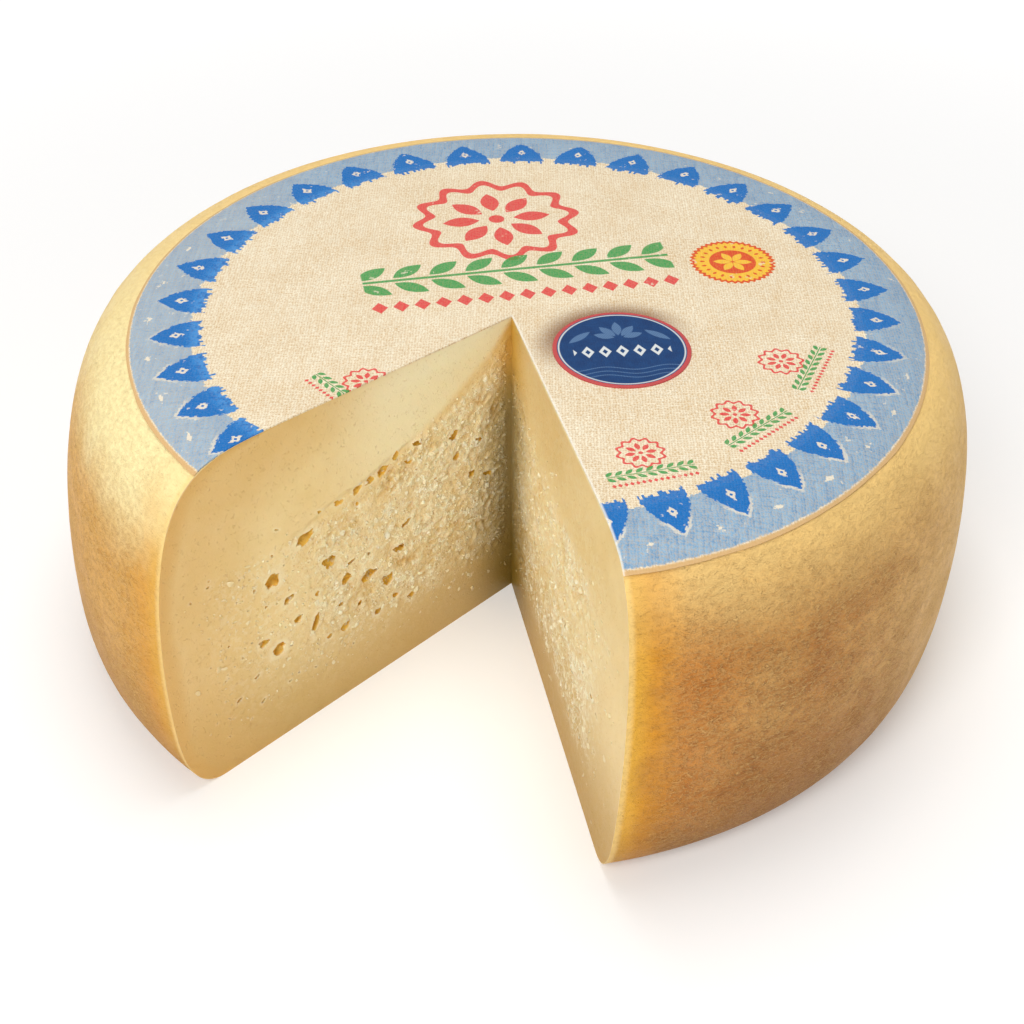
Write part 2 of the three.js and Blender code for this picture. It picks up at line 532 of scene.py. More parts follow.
def reach_to_circle(start, azimuth, middle, radius):
    """How far it is from start, in a direction, to a circle around the start."""
    direction = towards(azimuth)
    offset = start - middle
    along = np.sum(offset * direction, axis=1)
    return -along + np.sqrt(along**2 - np.sum(offset**2, axis=1) + radius**2)


foot_side_top = np.array([0, WIDEST_HEIGHT, WHEEL_HEIGHT])
print("radius at the foot, the side and the top, mm:", np.round(wheel_radius(foot_side_top), 1))

# %% [markdown]
# ## How the knife left the paste
# Near the rind the paste is close and the knife leaves it smooth. In the wheel's heart the curd grains
# are loosely joined, so the blade drags flakes out of it, and smears them flat again in patches. Along one
# old seam between two layers of curd the left face has a shallow step with a chain of small eyes. It could
# be sculpted by hand, but then none of its sizes could be changed alone. So it is height above or below
# the flat cut, given over two measures: how far out from the inner corner, and how far up. Where the two
# cuts differ, a size stands under each side's name.

# %% Relief of the two cut faces, in millimetres
TORN = {
    "left": {"low": 26, "out": 112, "seed": 11},
    "right": {"low": 18, "high": 108, "out": 138, "seed": 37},
}
SEAM_OUT = [0, 11, 21, 35, 46, 58, 65, 79, 92, 103]
SEAM_UP = [135, 124, 118, 109, 104, 99, 97, 94, 91, 87]
WANDER_SIZE = 24
WANDER_REACH = 26
CORNER_RISE = 12
FLAKE_SIZE = 2.3
SMALL_FLAKE_SIZE = 0.55 * FLAKE_SIZE
SMALL_FLAKE_SHARE = 0.6
LOOSE_SIZE = 7.0
FLAKE_RISE = {"left": 0.85, "right": 0.5}
DRAG_SIZE = 1.9
DRAG_RISE = {"left": 0.3, "right": 0.8}
DRAG_SLOPE = {"left": math.radians(-22), "right": math.radians(60)}
LUMP_SIZE = 8.0
LUMP_RISE = 1.5
SMEAR_SIZE = 15.0
SMEARED_SHARE = 0.35
CALMER_ABOVE = 0.55
KNIFE_WAVE = 0.10
KNIFE_WAVE_SIZE = 5.0
SEAM_DEPTH = 0.8
SEAM_WIDTH = 1.1
SEAM_WANDER = 1.6


def torn_share(side, out, up):
    """How torn the paste is: 0 where the knife left it smooth, 1 in the heart."""
    zone = TORN[side]
    points = np.column_stack([out, up, np.full(len(out), 40.0 * zone["seed"])])
    wander = WANDER_REACH * (layered(points, WANDER_SIZE, 3, zone["seed"]) - 0.5)
    if side == "left":
        share = ease(np.interp(out, SEAM_OUT, SEAM_UP) + 0.25 * wander - up, 0, 7)
    else:
        near_corner = CORNER_RISE * (1 - ease(out, 12, 42))
        share = ease(zone["high"] + near_corner + 0.6 * wander - up, 0, 16)
    share *= ease(up - zone["low"] + 0.8 * wander, -8, 14)
    share *= ease(zone["out"] + wander - out, -12, 34)
    return share * ease(out, 0.5, 5)


def cut_relief(side, out, up):
    """Height of the torn paste above the flat cut, in millimetres."""
    seed = TORN[side]["seed"]
    torn = torn_share(side, out, up)
    points = np.column_stack([out, up, np.full(len(out), 60.0 * seed)])
    rise = LUMP_RISE * (layered(points, LUMP_SIZE, 3, seed + 1) - 0.55) * torn
    loose = ease(layered(points, LOOSE_SIZE, 2, seed + 4), 0.42, 0.58)
    if side == "left":
        rough = ease(layered(points, SMEAR_SIZE, 2, seed + 9), 0.40, 0.58)
        rough = np.maximum(rough, 1 - ease(out, 18, 60))
        torn = torn * (SMEARED_SHARE + (1 - SMEARED_SHARE) * rough) * (1 - CALMER_ABOVE * ease(up, 92, 122))
    rise += FLAKE_RISE[side] * (flakes(out, up, FLAKE_SIZE, seed) - 0.5) * torn * loose
    small = flakes(out, up, SMALL_FLAKE_SIZE, seed + 3) - 0.5
    rise += SMALL_FLAKE_SHARE * FLAKE_RISE[side] * small * torn
    cosine, sine = math.cos(DRAG_SLOPE[side]), math.sin(DRAG_SLOPE[side])
    dragged = np.column_stack([0.4 * (out * cosine + up * sine), up * cosine - out * sine, points[:, 2]])
    ridge = 1 - 2 * np.abs(layered(dragged, DRAG_SIZE, 3, seed + 2) - 0.5)
    rise += DRAG_RISE[side] * (ridge - 0.75) * torn
    rise += KNIFE_WAVE * (layered(points, KNIFE_WAVE_SIZE, 2, seed + 6) - 0.5)
    if side == "left":
        seam = np.interp(out, SEAM_OUT, SEAM_UP) + SEAM_WANDER * (lumps(points, 4.0, seed + 8) - 0.5)
        along = ease(out, 44, 54) * (1 - ease(out, 96, 112))
        gap = up - seam
        rise -= SEAM_DEPTH * along * np.exp(-((gap / SEAM_WIDTH) ** 2))
        rise -= 0.5 * SEAM_DEPTH * along * ease(-gap, 0, 1.5) * (1 - ease(-gap, 6, 20))
    return rise * ease(out, 0.2, 3.0)


in_the_heart = np.array([60.0])
for side in TORN:
    print(side, "cut, torn share in the heart:", np.round(torn_share(side, in_the_heart, in_the_heart), 2))

# %% [markdown]
# ## The wheel's mesh
# The wheel less its wedge could be cut from a turned solid, which leaves long thin faces on the cuts. It
# is built here as level loops instead, one above the other: each goes from the inner corner out along the
# right cut, round the rind and back along the left cut. The cuts get close points for their relief, and
# the rind, which is plain, gets wide ones. Where a wide face meets close points it simply has more sides.

# %% Levels and columns
LEVEL_STEP = 0.78
PLAIN_TO = 134.3
RIND_EVERY = 5
RIND_ALSO = (2, 5, 8)
RIND_COLUMNS = 190
COLUMNS = {"left": (150, 34), "right": (118, 34)}
FINE_SHARE = 0.72
FOOT_LEVELS = [0.0, 0.06, 0.3]
SHOULDER_LEVELS = [134.6, 135.1, 135.5, 135.8, 135.95, 136.0]
ROUND_AWAY = 0.02
RIND_CLEARANCE = 0.15
BROAD_DENTS = dict(size=52.0, layers=2, seed=71)
SMALL_DENTS = dict(size=15.0, layers=2, seed=83)
BROAD_DEPTH, SMALL_DEPTH = 0.75, 0.3


def wheel_levels():
    plain = np.arange(LEVEL_STEP, PLAIN_TO, LEVEL_STEP)
    return np.array([*FOOT_LEVELS, *plain, *SHOULDER_LEVELS])


def rind_levels(count):
    """Which of the levels the rind uses: the foot's, every fifth, some near the top, and the shoulder's."""
    low = len(FOOT_LEVELS)
    high = count - len(SHOULDER_LEVELS) - 1
    chosen = [*range(low), *range(low, high, RIND_EVERY), *range(high, count)]
    near_top = [high - below for below in RIND_ALSO]
    return sorted(set(chosen) | set(near_top))


def rind_dent(azimuth, height):
    """How far the rind lies inside the true barrel, in millimetres, never outside it."""
    points = np.column_stack([WIDEST_RADIUS * towards(azimuth), height])
    broad = BROAD_DEPTH * layered(points, **BROAD_DENTS) * ease(height, -4, 18)
    return RIND_CLEARANCE + broad + SMALL_DEPTH * layered(points, **SMALL_DENTS)


levels = wheel_levels()
radii = wheel_radius(np.minimum(levels, WHEEL_HEIGHT - ROUND_AWAY))
radii[0] = BASE_FLAT_RADIUS
middles = wheel_middle(levels)
corners = knife_line(levels)
rind_rows = rind_levels(len(levels))
print("levels:", len(levels), "of which the rind uses", len(rind_rows))


# %% Points of the cuts and the rind
def dented_reach(side):
    """How far each level's cut runs, and the azimuth at which it leaves the rind."""
    azimuth = knife_azimuth(side, levels)
    radius = radii.copy()
    for _ in range(3):
        reach = reach_to_circle(corners, azimuth, middles, radius)
        end = corners + reach[:, None] * towards(azimuth) - middles
        around = np.arctan2(end[:, 1], end[:, 0])
        if side == "left":
            around = around + 2 * math.pi
        radius = radii - rind_dent(around, levels)
    return reach, azimuth, around


def cut_points(side):
    """The grid of one cut: rows are levels, columns go from the corner to the rind."""
    reach, azimuth, around = dented_reach(side)
    close, wide = COLUMNS[side]
    share = np.concatenate(
        [np.linspace(0, FINE_SHARE, close, endpoint=False), np.linspace(FINE_SHARE, 1, wide + 1)]
    )
    out = reach[:, None] * share[None, :]
    up = np.repeat(levels[:, None], len(share), axis=1)
    rise = cut_relief(side, out.ravel(), up.ravel()).reshape(out.shape)
    edge = ease(reach[:, None] - out, 0, 5) * ease(up, 0, 5) * ease(WHEEL_HEIGHT - up, 0, 3)
    rise = rise * edge
    along = towards(azimuth)
    outward = out_of_paste(side, along)
    flat = corners[:, None, :] + out[:, :, None] * along[:, None, :] + rise[:, :, None] * outward[:, None, :]
    return np.concatenate([flat, up[:, :, None]], axis=2), around


left_grid, left_around = cut_points("left")
right_grid, right_around = cut_points("right")


def rind_points():
    """The rind's grid: rows are the rind's levels, columns go from the right cut round to the left."""
    rows = []
    for row in rind_rows:
        around = np.linspace(right_around[row], left_around[row], RIND_COLUMNS + 1)
        radius = radii[row] - rind_dent(around, np.full(len(around), levels[row]))
        flat = middles[row] + radius[:, None] * towards(around)
        rows.append(np.column_stack([flat, np.full(len(around), levels[row])]))
    return np.array(rows)


rind_grid = rind_points()
print("left cut grid:", left_grid.shape[:2], "right:", right_grid.shape[:2], "rind:", rind_grid.shape[:2])

# %% Faces of the wheel
RIND_SLOT, PASTE_SLOT, EYE_SLOT = 0, 1, 2


def wheel_mesh(name):
    """One closed mesh from the three grids, with the rind and the paste in different material slots."""
    count = len(levels)
    left_wide, right_wide = left_grid.shape[1], right_grid.shape[1]
    points = [right_grid.reshape(-1, 3), left_grid[:, 1:].reshape(-1, 3)]
    points.append(rind_grid[:, 1:-1].reshape(-1, 3))
    right_at = np.arange(count * right_wide).reshape(count, right_wide)
    left_at = right_at.size + np.arange(count * (left_wide - 1)).reshape(count, left_wide - 1)
    left_at = np.column_stack([right_at[:, 0], left_at])
    rind_at = right_at.size + count * (left_wide - 1)
    rind_at = rind_at + np.arange(len(rind_rows) * (RIND_COLUMNS - 1)).reshape(len(rind_rows), -1)
    faces = grid_quads(right_at) + grid_quads(left_at, flip=True)
    slots = [PASTE_SLOT] * len(faces)
    faces += grid_quads(rind_at)
    for index, (low, high) in enumerate(zip(rind_rows[:-1], rind_rows[1:])):
        right_edge = [int(right_at[level, -1]) for level in range(high, low, -1)]
        first = [int(right_at[low, -1]), int(rind_at[index, 0]), int(rind_at[index + 1, 0])]
        faces.append(first + right_edge)
        left_edge = [int(left_at[level, -1]) for level in range(low, high + 1)]
        faces.append([int(rind_at[index, -1]), *left_edge, int(rind_at[index + 1, -1])])
    for level, row, flip in ((0, 0, True), (count - 1, len(rind_rows) - 1, False)):
        loop = [*right_at[level], *rind_at[row], *left_at[level, :0:-1]]
        loop = [int(index) for index in loop]
        faces.append(loop[::-1] if flip else loop)
    slots += [RIND_SLOT] * (len(faces) - len(slots))
    mesh = new_mesh(name, np.concatenate(points), faces)
    mesh.polygons.foreach_set("material_index", slots)
    return mesh


plain_wheel = placed("plain_wheel", wheel_mesh("plain_wheel"))
print("plain wheel faces:", len(plain_wheel.data.polygons))

# %% [markdown]
# ## Eyes
# The small holes are gas and whey pockets that the knife opened. They are pockets with round or torn
# walls, so they could be dents in the cut's grid, but a grid can't have an undercut or a sharp rim. So
# each is a small uneven body, and one Boolean takes them all out of the wheel. The larger eyes of the left
# cut lie where the photograph shows them, as distances out from the inner corner and up. The rest are
# scattered with a fixed seed.

# %% Eye bodies
EYE_SEED = 5
EYE_GAP = 0.9
SMALL_EYES_FAVOURED = 2.6
EYE_DEPTH_SHARE = 0.36
EYE_DEPTH_LEAST = 0.25
EYE_SET_BACK = 0.22
EYE_TAPER = 0.28
EYE_SWELL, EYE_LUMPS = 0.6, 0.75
LARGE_EYE = 3.2
LEFT_EYES = [
    dict(out=116.4, up=73.6, long=6.6, high=5.6, tilt=129),
    dict(out=100.4, up=84.2, long=8.2, high=4.4, tilt=161),
    dict(out=91.6, up=68.5, long=6.2, high=5.2, tilt=150),
    dict(out=84.9, up=56.0, long=5.6, high=4.2, tilt=173),
    dict(out=82.3, up=62.6, long=3.9, high=1.8, tilt=166),
    dict(out=74.6, up=51.6, long=7.6, high=4.4, tilt=169),
    dict(out=65.7, up=44.1, long=5.8, high=5.0, tilt=135),
    dict(out=59.2, up=56.0, long=7.0, high=3.6, tilt=17),
    dict(out=54.8, up=66.2, long=5.8, high=2.2, tilt=150),
    dict(out=63.6, up=33.9, long=4.0, high=2.4, tilt=32),
    dict(out=55.8, up=28.8, long=3.8, high=3.0, tilt=14),
    dict(out=111.5, up=61.4, long=5.6, high=2.8, tilt=159),
    dict(out=98.8, up=56.8, long=2.8, high=2.4, tilt=136),
    dict(out=108.5, up=50.4, long=4.2, high=3.2, tilt=144),
    dict(out=101.2, up=44.6, long=9.0, high=2.6, tilt=111),
    dict(out=124.9, up=48.2, long=4.2, high=3.2, tilt=175),
    dict(out=118.9, up=41.6, long=6.4, high=4.8, tilt=155),
    dict(out=72.6, up=31.2, long=4.0, high=3.4, tilt=168),
    dict(out=88.2, up=33.8, long=4.4, high=3.6, tilt=152),
    dict(out=93.0, up=92.2, long=2.6, high=1.8, tilt=29),
    dict(out=84.6, up=91.6, long=3.8, high=2.2, tilt=9),
    dict(out=75.5, up=93.1, long=3.8, high=3.2, tilt=157),
    dict(out=69.6, up=94.3, long=4.2, high=3.0, tilt=152),
    dict(out=63.2, up=95.6, long=5.4, high=3.8, tilt=157),
    dict(out=57.0, up=99.6, long=4.3, high=2.8, tilt=106),
    dict(out=51.7, up=93.6, long=3.4, high=2.0, tilt=27),
    dict(out=47.2, up=100.2, long=4.4, high=2.8, tilt=27),
    dict(out=29.5, up=95.2, long=5.2, high=3.8, tilt=133),
    dict(out=28.6, up=84.7, long=3.8, high=3.0, tilt=118),
    dict(out=21.0, up=72.3, long=5.0, high=3.2, tilt=141),
    dict(out=12.8, up=68.0, long=5.4, high=3.0, tilt=28),
    dict(out=17.4, up=87.2, long=4.4, high=2.6, tilt=27),
    dict(out=111.6, up=94.3, long=2.4, high=1.0, tilt=29),
    dict(out=130.2, up=35.3, long=3.0, high=1.3, tilt=145),
    dict(out=139.2, up=29.6, long=3.0, high=1.4, tilt=150),
    dict(out=129.6, up=22.6, long=2.8, high=1.2, tilt=140),
    dict(out=89.4, up=45.4, long=2.8, high=1.8, tilt=32),
    dict(out=96.4, up=33.4, long=2.8, high=2.4, tilt=2),
    dict(out=80.6, up=40.2, long=3.2, high=2.4, tilt=120),
]
SCATTERED_EYES = {
    "left": [
        dict(count=60, small=0.8, large=2.2, low=22, high=104, near=8, far=140, picky=0.3),
        dict(count=70, small=0.6, large=1.7, low=14, high=92, near=84, far=150, picky=0.0),
    ],
    "right": [
        dict(count=60, small=0.9, large=3.4, low=20, high=108, near=16, far=138, picky=0.3),
        dict(count=30, small=0.6, large=1.8, low=14, high=112, near=20, far=150, picky=0.0),
    ],
}


def free_spot(taken, out, up, size):
    return all(math.hypot(out - o, up - u) > EYE_GAP + (size + s) / 2 for o, u, s in taken)


def all_eyes(side):
    """The eyes placed by the photograph, on the left cut, and the scattered ones."""
    chosen = list(LEFT_EYES) if side == "left" else []
    taken = [(eye["out"], eye["up"], eye["long"]) for eye in chosen]
    draw = np.random.default_rng(EYE_SEED + len(side))
    for rule in SCATTERED_EYES[side]:
        wanted = len(chosen) + rule["count"]
        while len(chosen) < wanted:
            out, up = draw.uniform(rule["near"], rule["far"]), draw.uniform(rule["low"], rule["high"])
            size = rule["small"] + (rule["large"] - rule["small"]) * draw.random() ** SMALL_EYES_FAVOURED
            share = torn_share(side, np.array([out]), np.array([up]))[0]
            if share >= rule["picky"] * draw.random() and free_spot(taken, out, up, size):
                flatness, tilt = draw.uniform(0.5, 0.95), draw.uniform(0, 180)
                chosen.append(dict(out=out, up=up, long=size, high=size * flatness, tilt=tilt))
                taken.append((out, up, size))
    return chosen


def cut_frame(side, out, up):
    """A point on a cut, with the directions outwards along it and straight out of the paste."""
    height = np.array([up])
    azimuth = knife_azimuth(side, height)
    along = towards(azimuth)
    away = out_of_paste(side, along)
    flat = knife_line(height) + out * along
    return np.array([*flat[0], up]), np.array([*along[0], 0]), np.array([*away[0], 0])


def eye_points(ball, side, eye, number):
    """One uneven body over an eye: a ball that is stretched, turned on the cut and made lumpy."""
    middle, along, away = cut_frame(side, eye["out"], eye["up"])
    tilt = math.radians(eye["tilt"])
    upright = np.array([0, 0, 1])
    long_way = math.cos(tilt) * along + math.sin(tilt) * upright
    high_way = math.cos(tilt) * upright - math.sin(tilt) * along
    depth = EYE_DEPTH_SHARE * (eye["long"] + eye["high"]) / 2 + EYE_DEPTH_LEAST
    swell = 1 + EYE_SWELL * (layered(ball + 9 * number, 0.9, 2, number) - 0.5)
    swell += EYE_LUMPS * (lumps(ball + 5 * number, 0.42, number + 50) - 0.5)
    taper = 1 - EYE_TAPER * ball[:, 0]
    body = ball * swell[:, None]
    across = np.outer(body[:, 0] * eye["long"] / 2, long_way)
    tall = np.outer(body[:, 1] * taper * eye["high"] / 2, high_way)
    deep = np.outer(body[:, 2] * depth - EYE_SET_BACK * depth, away)
    return middle + across + tall + deep


EYES = {side: all_eyes(side) for side in ("left", "right")}


def eye_bodies(name):
    """All the eye bodies as one mesh, finer where an eye is larger."""
    points, faces, first = [], [], 0
    number = 0
    for side in ("left", "right"):
        for eye in EYES[side]:
            fineness = 3 if eye["long"] > LARGE_EYE else 2
            ball = bmesh.new()
            bmesh.ops.create_icosphere(ball, subdivisions=fineness, radius=1)
            shape = np.array([vertex.co for vertex in ball.verts])
            step = -1 if side == "left" else 1
            faces += [[first + vertex.index for vertex in face.verts][::step] for face in ball.faces]
            ball.free()
            points.append(eye_points(shape, side, eye, number))
            first += len(shape)
            number += 1
    mesh = new_mesh(name, np.concatenate(points), faces)
    mesh.polygons.foreach_set("material_index", [EYE_SLOT] * len(faces))
    print("eyes:", number, "faces in their bodies:", len(faces))
    return mesh


eye_cutter = placed("eye_bodies", eye_bodies("eye_bodies"))

# %% Take the eyes out of the wheel
rind_look, rind_bench, rind_shader = new_material("brushed_rind")
paste_look, paste_bench, paste_shader = new_material("pale_paste")
eye_look, eye_bench, eye_shader = new_material("eye_wall")
for piece in (plain_wheel, eye_cutter):
    for look in (rind_look, paste_look, eye_look):
        piece.data.materials.append(look)


def finished_mesh(piece, name):
    """The piece's mesh with its modifiers worked in, as a plain new mesh."""
    bpy.context.view_layer.update()
    depsgraph = bpy.context.evaluated_depsgraph_get()
    mesh = bpy.data.meshes.new_from_object(piece.evaluated_get(depsgraph), depsgraph=depsgraph)
    mesh.name = name
    return mesh


cut_out = plain_wheel.modifiers.new("eyes", "BOOLEAN")
cut_out.operation = "DIFFERENCE"
cut_out.solver = "MANIFOLD"
cut_out.object = eye_cutter
cheese = placed("cheese_wheel_cut", finished_mesh(plain_wheel, "cheese_wheel_cut"))
for spent in (plain_wheel, eye_cutter):
    bpy.data.objects.remove(spent)
slots_used = np.zeros(len(cheese.data.polygons), int)
cheese.data.polygons.foreach_get("material_index", slots_used)
triangles = sum(len(polygon.vertices) - 2 for polygon in cheese.data.polygons)
print("wheel triangles:", triangles, "faces per slot:", np.bincount(slots_used, minlength=3))

# %% [markdown]
# ## What the materials need to know
# The paste is darker just under the rind, painted a deeper yellow inside the eyes as painted shade, and
# whiter where it is torn, partly as a painted highlight on raised flakes. It could be painted on by hand,
# but then it wouldn't follow a change of shape. So each point of the mesh stores what a shader can't
# measure: how deep it lies under the wheel's skin and behind the cut, on which cut and how far out it is,
# whether it is above the seam, how torn and how crumbly its place is, how near an eye, and for the rind how
# near each cut is. A UV map in metres runs round the rind and up, without a seam, for the rind's fibres.


# %% Stored measures
def cut_measures(side, points):
    """How far out, and how far in front of the flat cut, each point lies."""
    up = np.clip(points[:, 2], 0, WHEEL_HEIGHT)
    along = towards(knife_azimuth(side, up))
    offset = points[:, :2] - knife_line(up)
    away = out_of_paste(side, along)
    return np.sum(offset * along, axis=1), np.sum(offset * away, axis=1)


DEEPEST_EYE = 6.0
TOP_SLANT = 0.55
INNER_CRUMBS = {"left": 0.34, "right": 0.12}
TORN_CRUMBS = {"left": 1.0, "right": 0.5}
OPEN_AZIMUTH = math.radians(-133)
flat = np.zeros(3 * len(cheese.data.vertices))
cheese.data.vertices.foreach_get("co", flat)
points = flat.reshape(-1, 3) / MM
out_left, front_left = cut_measures("left", points)
out_right, front_right = cut_measures("right", points)
on_left = np.abs(front_left) < np.abs(front_right)
out = np.where(on_left, out_left, out_right)
front = np.where(on_left, front_left, front_right)
up = points[:, 2]
from_middle = points[:, :2] - wheel_middle(up)
outwards = np.hypot(from_middle[:, 0], from_middle[:, 1])
steepness = 1 - TOP_SLANT * ease(up, 90, 134)
under_side = (wheel_radius(np.minimum(up, WHEEL_HEIGHT - ROUND_AWAY)) - outwards) * steepness
above_seam = ease(up - np.interp(out_left, SEAM_OUT, SEAM_UP), -3, 3) * on_left
torn = np.where(on_left, torn_share("left", out_left, up), torn_share("right", out_right, up))
torn = torn * (np.abs(front) < DEEPEST_EYE)


def eye_halo(side, out, up):
    """1 at the rim of an eye, falling to 0 about one radius further out."""
    halo = np.zeros(len(out))
    for eye in EYES[side]:
        tilt = math.radians(eye["tilt"])
        across, along_up = out - eye["out"], up - eye["up"]
        long_way = (across * math.cos(tilt) + along_up * math.sin(tilt)) / (eye["long"] / 2)
        high_way = (along_up * math.cos(tilt) - across * math.sin(tilt)) / (eye["high"] / 2)
        halo = np.maximum(halo, 1 - ease(np.hypot(long_way, high_way), 1.0, 2.3))
    return halo


near_eye = np.where(on_left, eye_halo("left", out_left, up), eye_halo("right", out_right, up))
inner = ease(under_side, 9, 24) * ease(up, 6, 24) * (np.abs(front) < DEEPEST_EYE)
inner = inner * ease(WHEEL_HEIGHT - up, 12, 34)
inner = inner * np.where(on_left, INNER_CRUMBS["left"], INNER_CRUMBS["right"]) * (1 - above_seam)
crumbly = np.maximum(torn * np.where(on_left, TORN_CRUMBS["left"], TORN_CRUMBS["right"]), inner)
around = np.arctan2(from_middle[:, 1], from_middle[:, 0])
around = np.where(around < OPEN_AZIMUTH, around + 2 * math.pi, around)
to_left = np.interp(up, levels, left_around) - around
to_right = around - np.interp(up, levels, right_around)
MEASURES = {
    "near_eye": near_eye,
    "crumbly": crumbly,
    "under_skin": np.maximum(under_side, 0) * MM,
    "behind_cut": np.clip(-front, -3, 8) * MM,
    "above_seam": above_seam,
    "on_left": on_left,
    "out_from_corner": np.maximum(out, 0) * MM,
    "torn": torn,
    "near_left_cut": np.maximum(to_left, 0) * WIDEST_RADIUS * MM,
    "near_right_cut": np.maximum(to_right, 0) * WIDEST_RADIUS * MM,
}
for name, values in MEASURES.items():
    attribute = cheese.data.attributes.new(name, "FLOAT", "POINT")
    attribute.data.foreach_set("value", np.asarray(values, np.float32))

uv = cheese.data.uv_layers.new(name="UVMap")
owner = np.zeros(len(cheese.data.loops), int)
cheese.data.loops.foreach_get("vertex_index", owner)
loop_slot = np.repeat(slots_used, [polygon.loop_total for polygon in cheese.data.polygons])
skin_length = up + np.maximum(WIDEST_RADIUS - outwards, 0) * np.where(up > WIDEST_HEIGHT, 1, -1)
on_rind = np.column_stack([around * WIDEST_RADIUS, skin_length]) * MM
on_cut = np.column_stack([np.where(on_left, out, -out), up]) * MM
uv_values = np.where((loop_slot == RIND_SLOT)[:, None], on_rind[owner], on_cut[owner])
uv.data.foreach_set("uv", uv_values.astype(np.float32).ravel())

shade_smooth(cheese.data)
on_paste = np.unique(owner[loop_slot != RIND_SLOT])
print("deepest eye, mm:", round(float(-front[on_paste].min()), 1), "torn points:", int((torn > 0.5).sum()))

# %% [markdown]
# ## Effects that several materials share
# Cheese paste, rind, cloth and badge are all a little uneven in tone, and both the rind and the paste
# have fine grain. Each effect could be wired again in every material. As node groups they are built once
# and placed with their own sizes.


# %% Shared groups: uneven tone, fine grain
def uneven_tone_group():
    bench, given, end = new_group("uneven_tone", {"Place": None, "Size": 0.02}, ["Tone"])
    scaled = bench.scaled(given["Place"], bench.math("DIVIDE", 1.0, given["Size"]))
    cloudy = bench.noise(scaled, size=1.0, detail=4, roughness=0.62)
    return bench.give(end, {"Tone": bench.between(cloudy, 0.34, 0.66)})


def fine_grain_group():
    bench, given, end = new_group("fine_grain", {"Place": None, "Size": 0.001}, ["Height", "Pits"])
    scaled = bench.scaled(given["Place"], bench.math("DIVIDE", 1.0, given["Size"]))
    grain = bench.noise(scaled, size=1.0, detail=3, roughness=0.62)
    coarse = bench.noise(scaled, size=3.1, detail=1)
    pits = bench.fading(grain, 0.34, 0.42) * bench.between(coarse, 0.46, 0.6)
    return bench.give(end, {"Height": grain * 0.6 + coarse * 0.4, "Pits": pits})


UNEVEN_TONE = uneven_tone_group()
FINE_GRAIN = fine_grain_group()
print("shared groups:", UNEVEN_TONE.name, FINE_GRAIN.name)

# %% [markdown]
# ## The paste
# Young pressed cheese is pale straw, waxy and a little see-through: light enters it and comes out nearby,
# which softens every shade. Paint alone would look like plaster, so the shader scatters light under the
# surface. Towards the rind the paste has dried to a deeper yellow, and towards the foot it darkens to olive
# as painted shade. Right at the rind there is a thin pale line. Above the seam the knife left it smooth,
# and there it is also painted paler as painted light, on the lit side of a painted shadow edge along the
# seam. The inner corner is painted brown and gold as painted shade, and the eyes and other hollows behind
# the cut a deep yellow as painted shade. In the torn heart the flakes are whiter in their own colour,
# raised paste gets a painted highlight and sunk paste painted shade. Each of these is one colour laid over
# the last, under a mask from the stored measures.

# %% Paste material
PASTE_CLOUDS = 0.03
PASTE_GRAIN = 0.0008
FLAKY_GRAIN = 0.0024
PASTE_PALE = paint(242, 218, 161)
# flake colour, also used for the painted highlight on raised paste
PASTE_FLAKE_AND_HIGHLIGHT = paint(255, 250, 222)
PASTE_SHADE = paint(228, 197, 128)
# dried colour, also used for painted shade in sunk places
PASTE_DRIED_AND_SHADE = paint(214, 164, 82)
PASTE_EDGE = paint(250, 232, 186)
# partly painted light: smooth paste above the seam, paler on the lit side of a painted shadow edge
PASTE_SMOOTH_AND_LIT = paint(255, 247, 210)
# painted shade colour of the eyes and hollows behind the cut
HOLLOW_SHADE_YELLOW = paint(234, 186, 48)
# painted shade of the inner corner: brown low down, gold near the top
CORNER_SHADE_BROWN = paint(128, 102, 26)
CORNER_SHADE_GOLD = paint(206, 158, 24)
# painted shade colour: the paste darkens to olive towards the foot
FOOT_OLIVE_SHADE = paint(184, 144, 60)
WAXY = {
    "Subsurface Weight": 0.2,
    "Subsurface Radius": (1.0, 0.62, 0.25),
    "Subsurface Scale": 0.002,
    "Specular IOR Level": 0.4,
}
CUT_DEEP, EYE_DEEP = 0.0050, 0.0010
CRUMB_PALER = 0.35

# %% Where each shade of the paste begins and ends, in metres along the measure that it follows
FOOT_SHADE_HEIGHT = (0.002, 0.078)
FOOT_SHADE_SHIFT = 0.012
SMOOTH_OUT = (0.045, 0.100)
UPPER_DOWN = (0.004, 0.034)
UPPER_OUT = (0.05, 0.10)
PROUD_HIGHLIGHT = (-0.0007, 0.0005)
GRAINY_INSIDE = (0.010, 0.030)
SUNK_SHADE = (0.0001, 0.0010)
SUNK_SHADE_TOO_DEEP = (0.0012, 0.0024)
DRIED_WANDER = 0.004
DRIED_UNDER = (0.001, 0.015)
OUTER_UNDER = (0.008, 0.050)
TOPMOST_DOWN = (0.001, 0.050)
TOPMOST_OUT = (0.06, 0.12)
EDGE_LINE = (0.0002, 0.0010)
TOP_LINE = (0.0004, 0.0013)
# where the painted shade of the inner corner begins and ends
SHADE_GOLD_DOWN = (0.012, 0.045)
LOW_CORNER_SHADE_HEIGHT = (0.010, 0.070)
CORNER_SHADE_DOWN, CORNER_SHADE_WIDTH, CORNER_SHADE_WIDER = (0.0, 0.080), (0.015, 0.034), 0.022


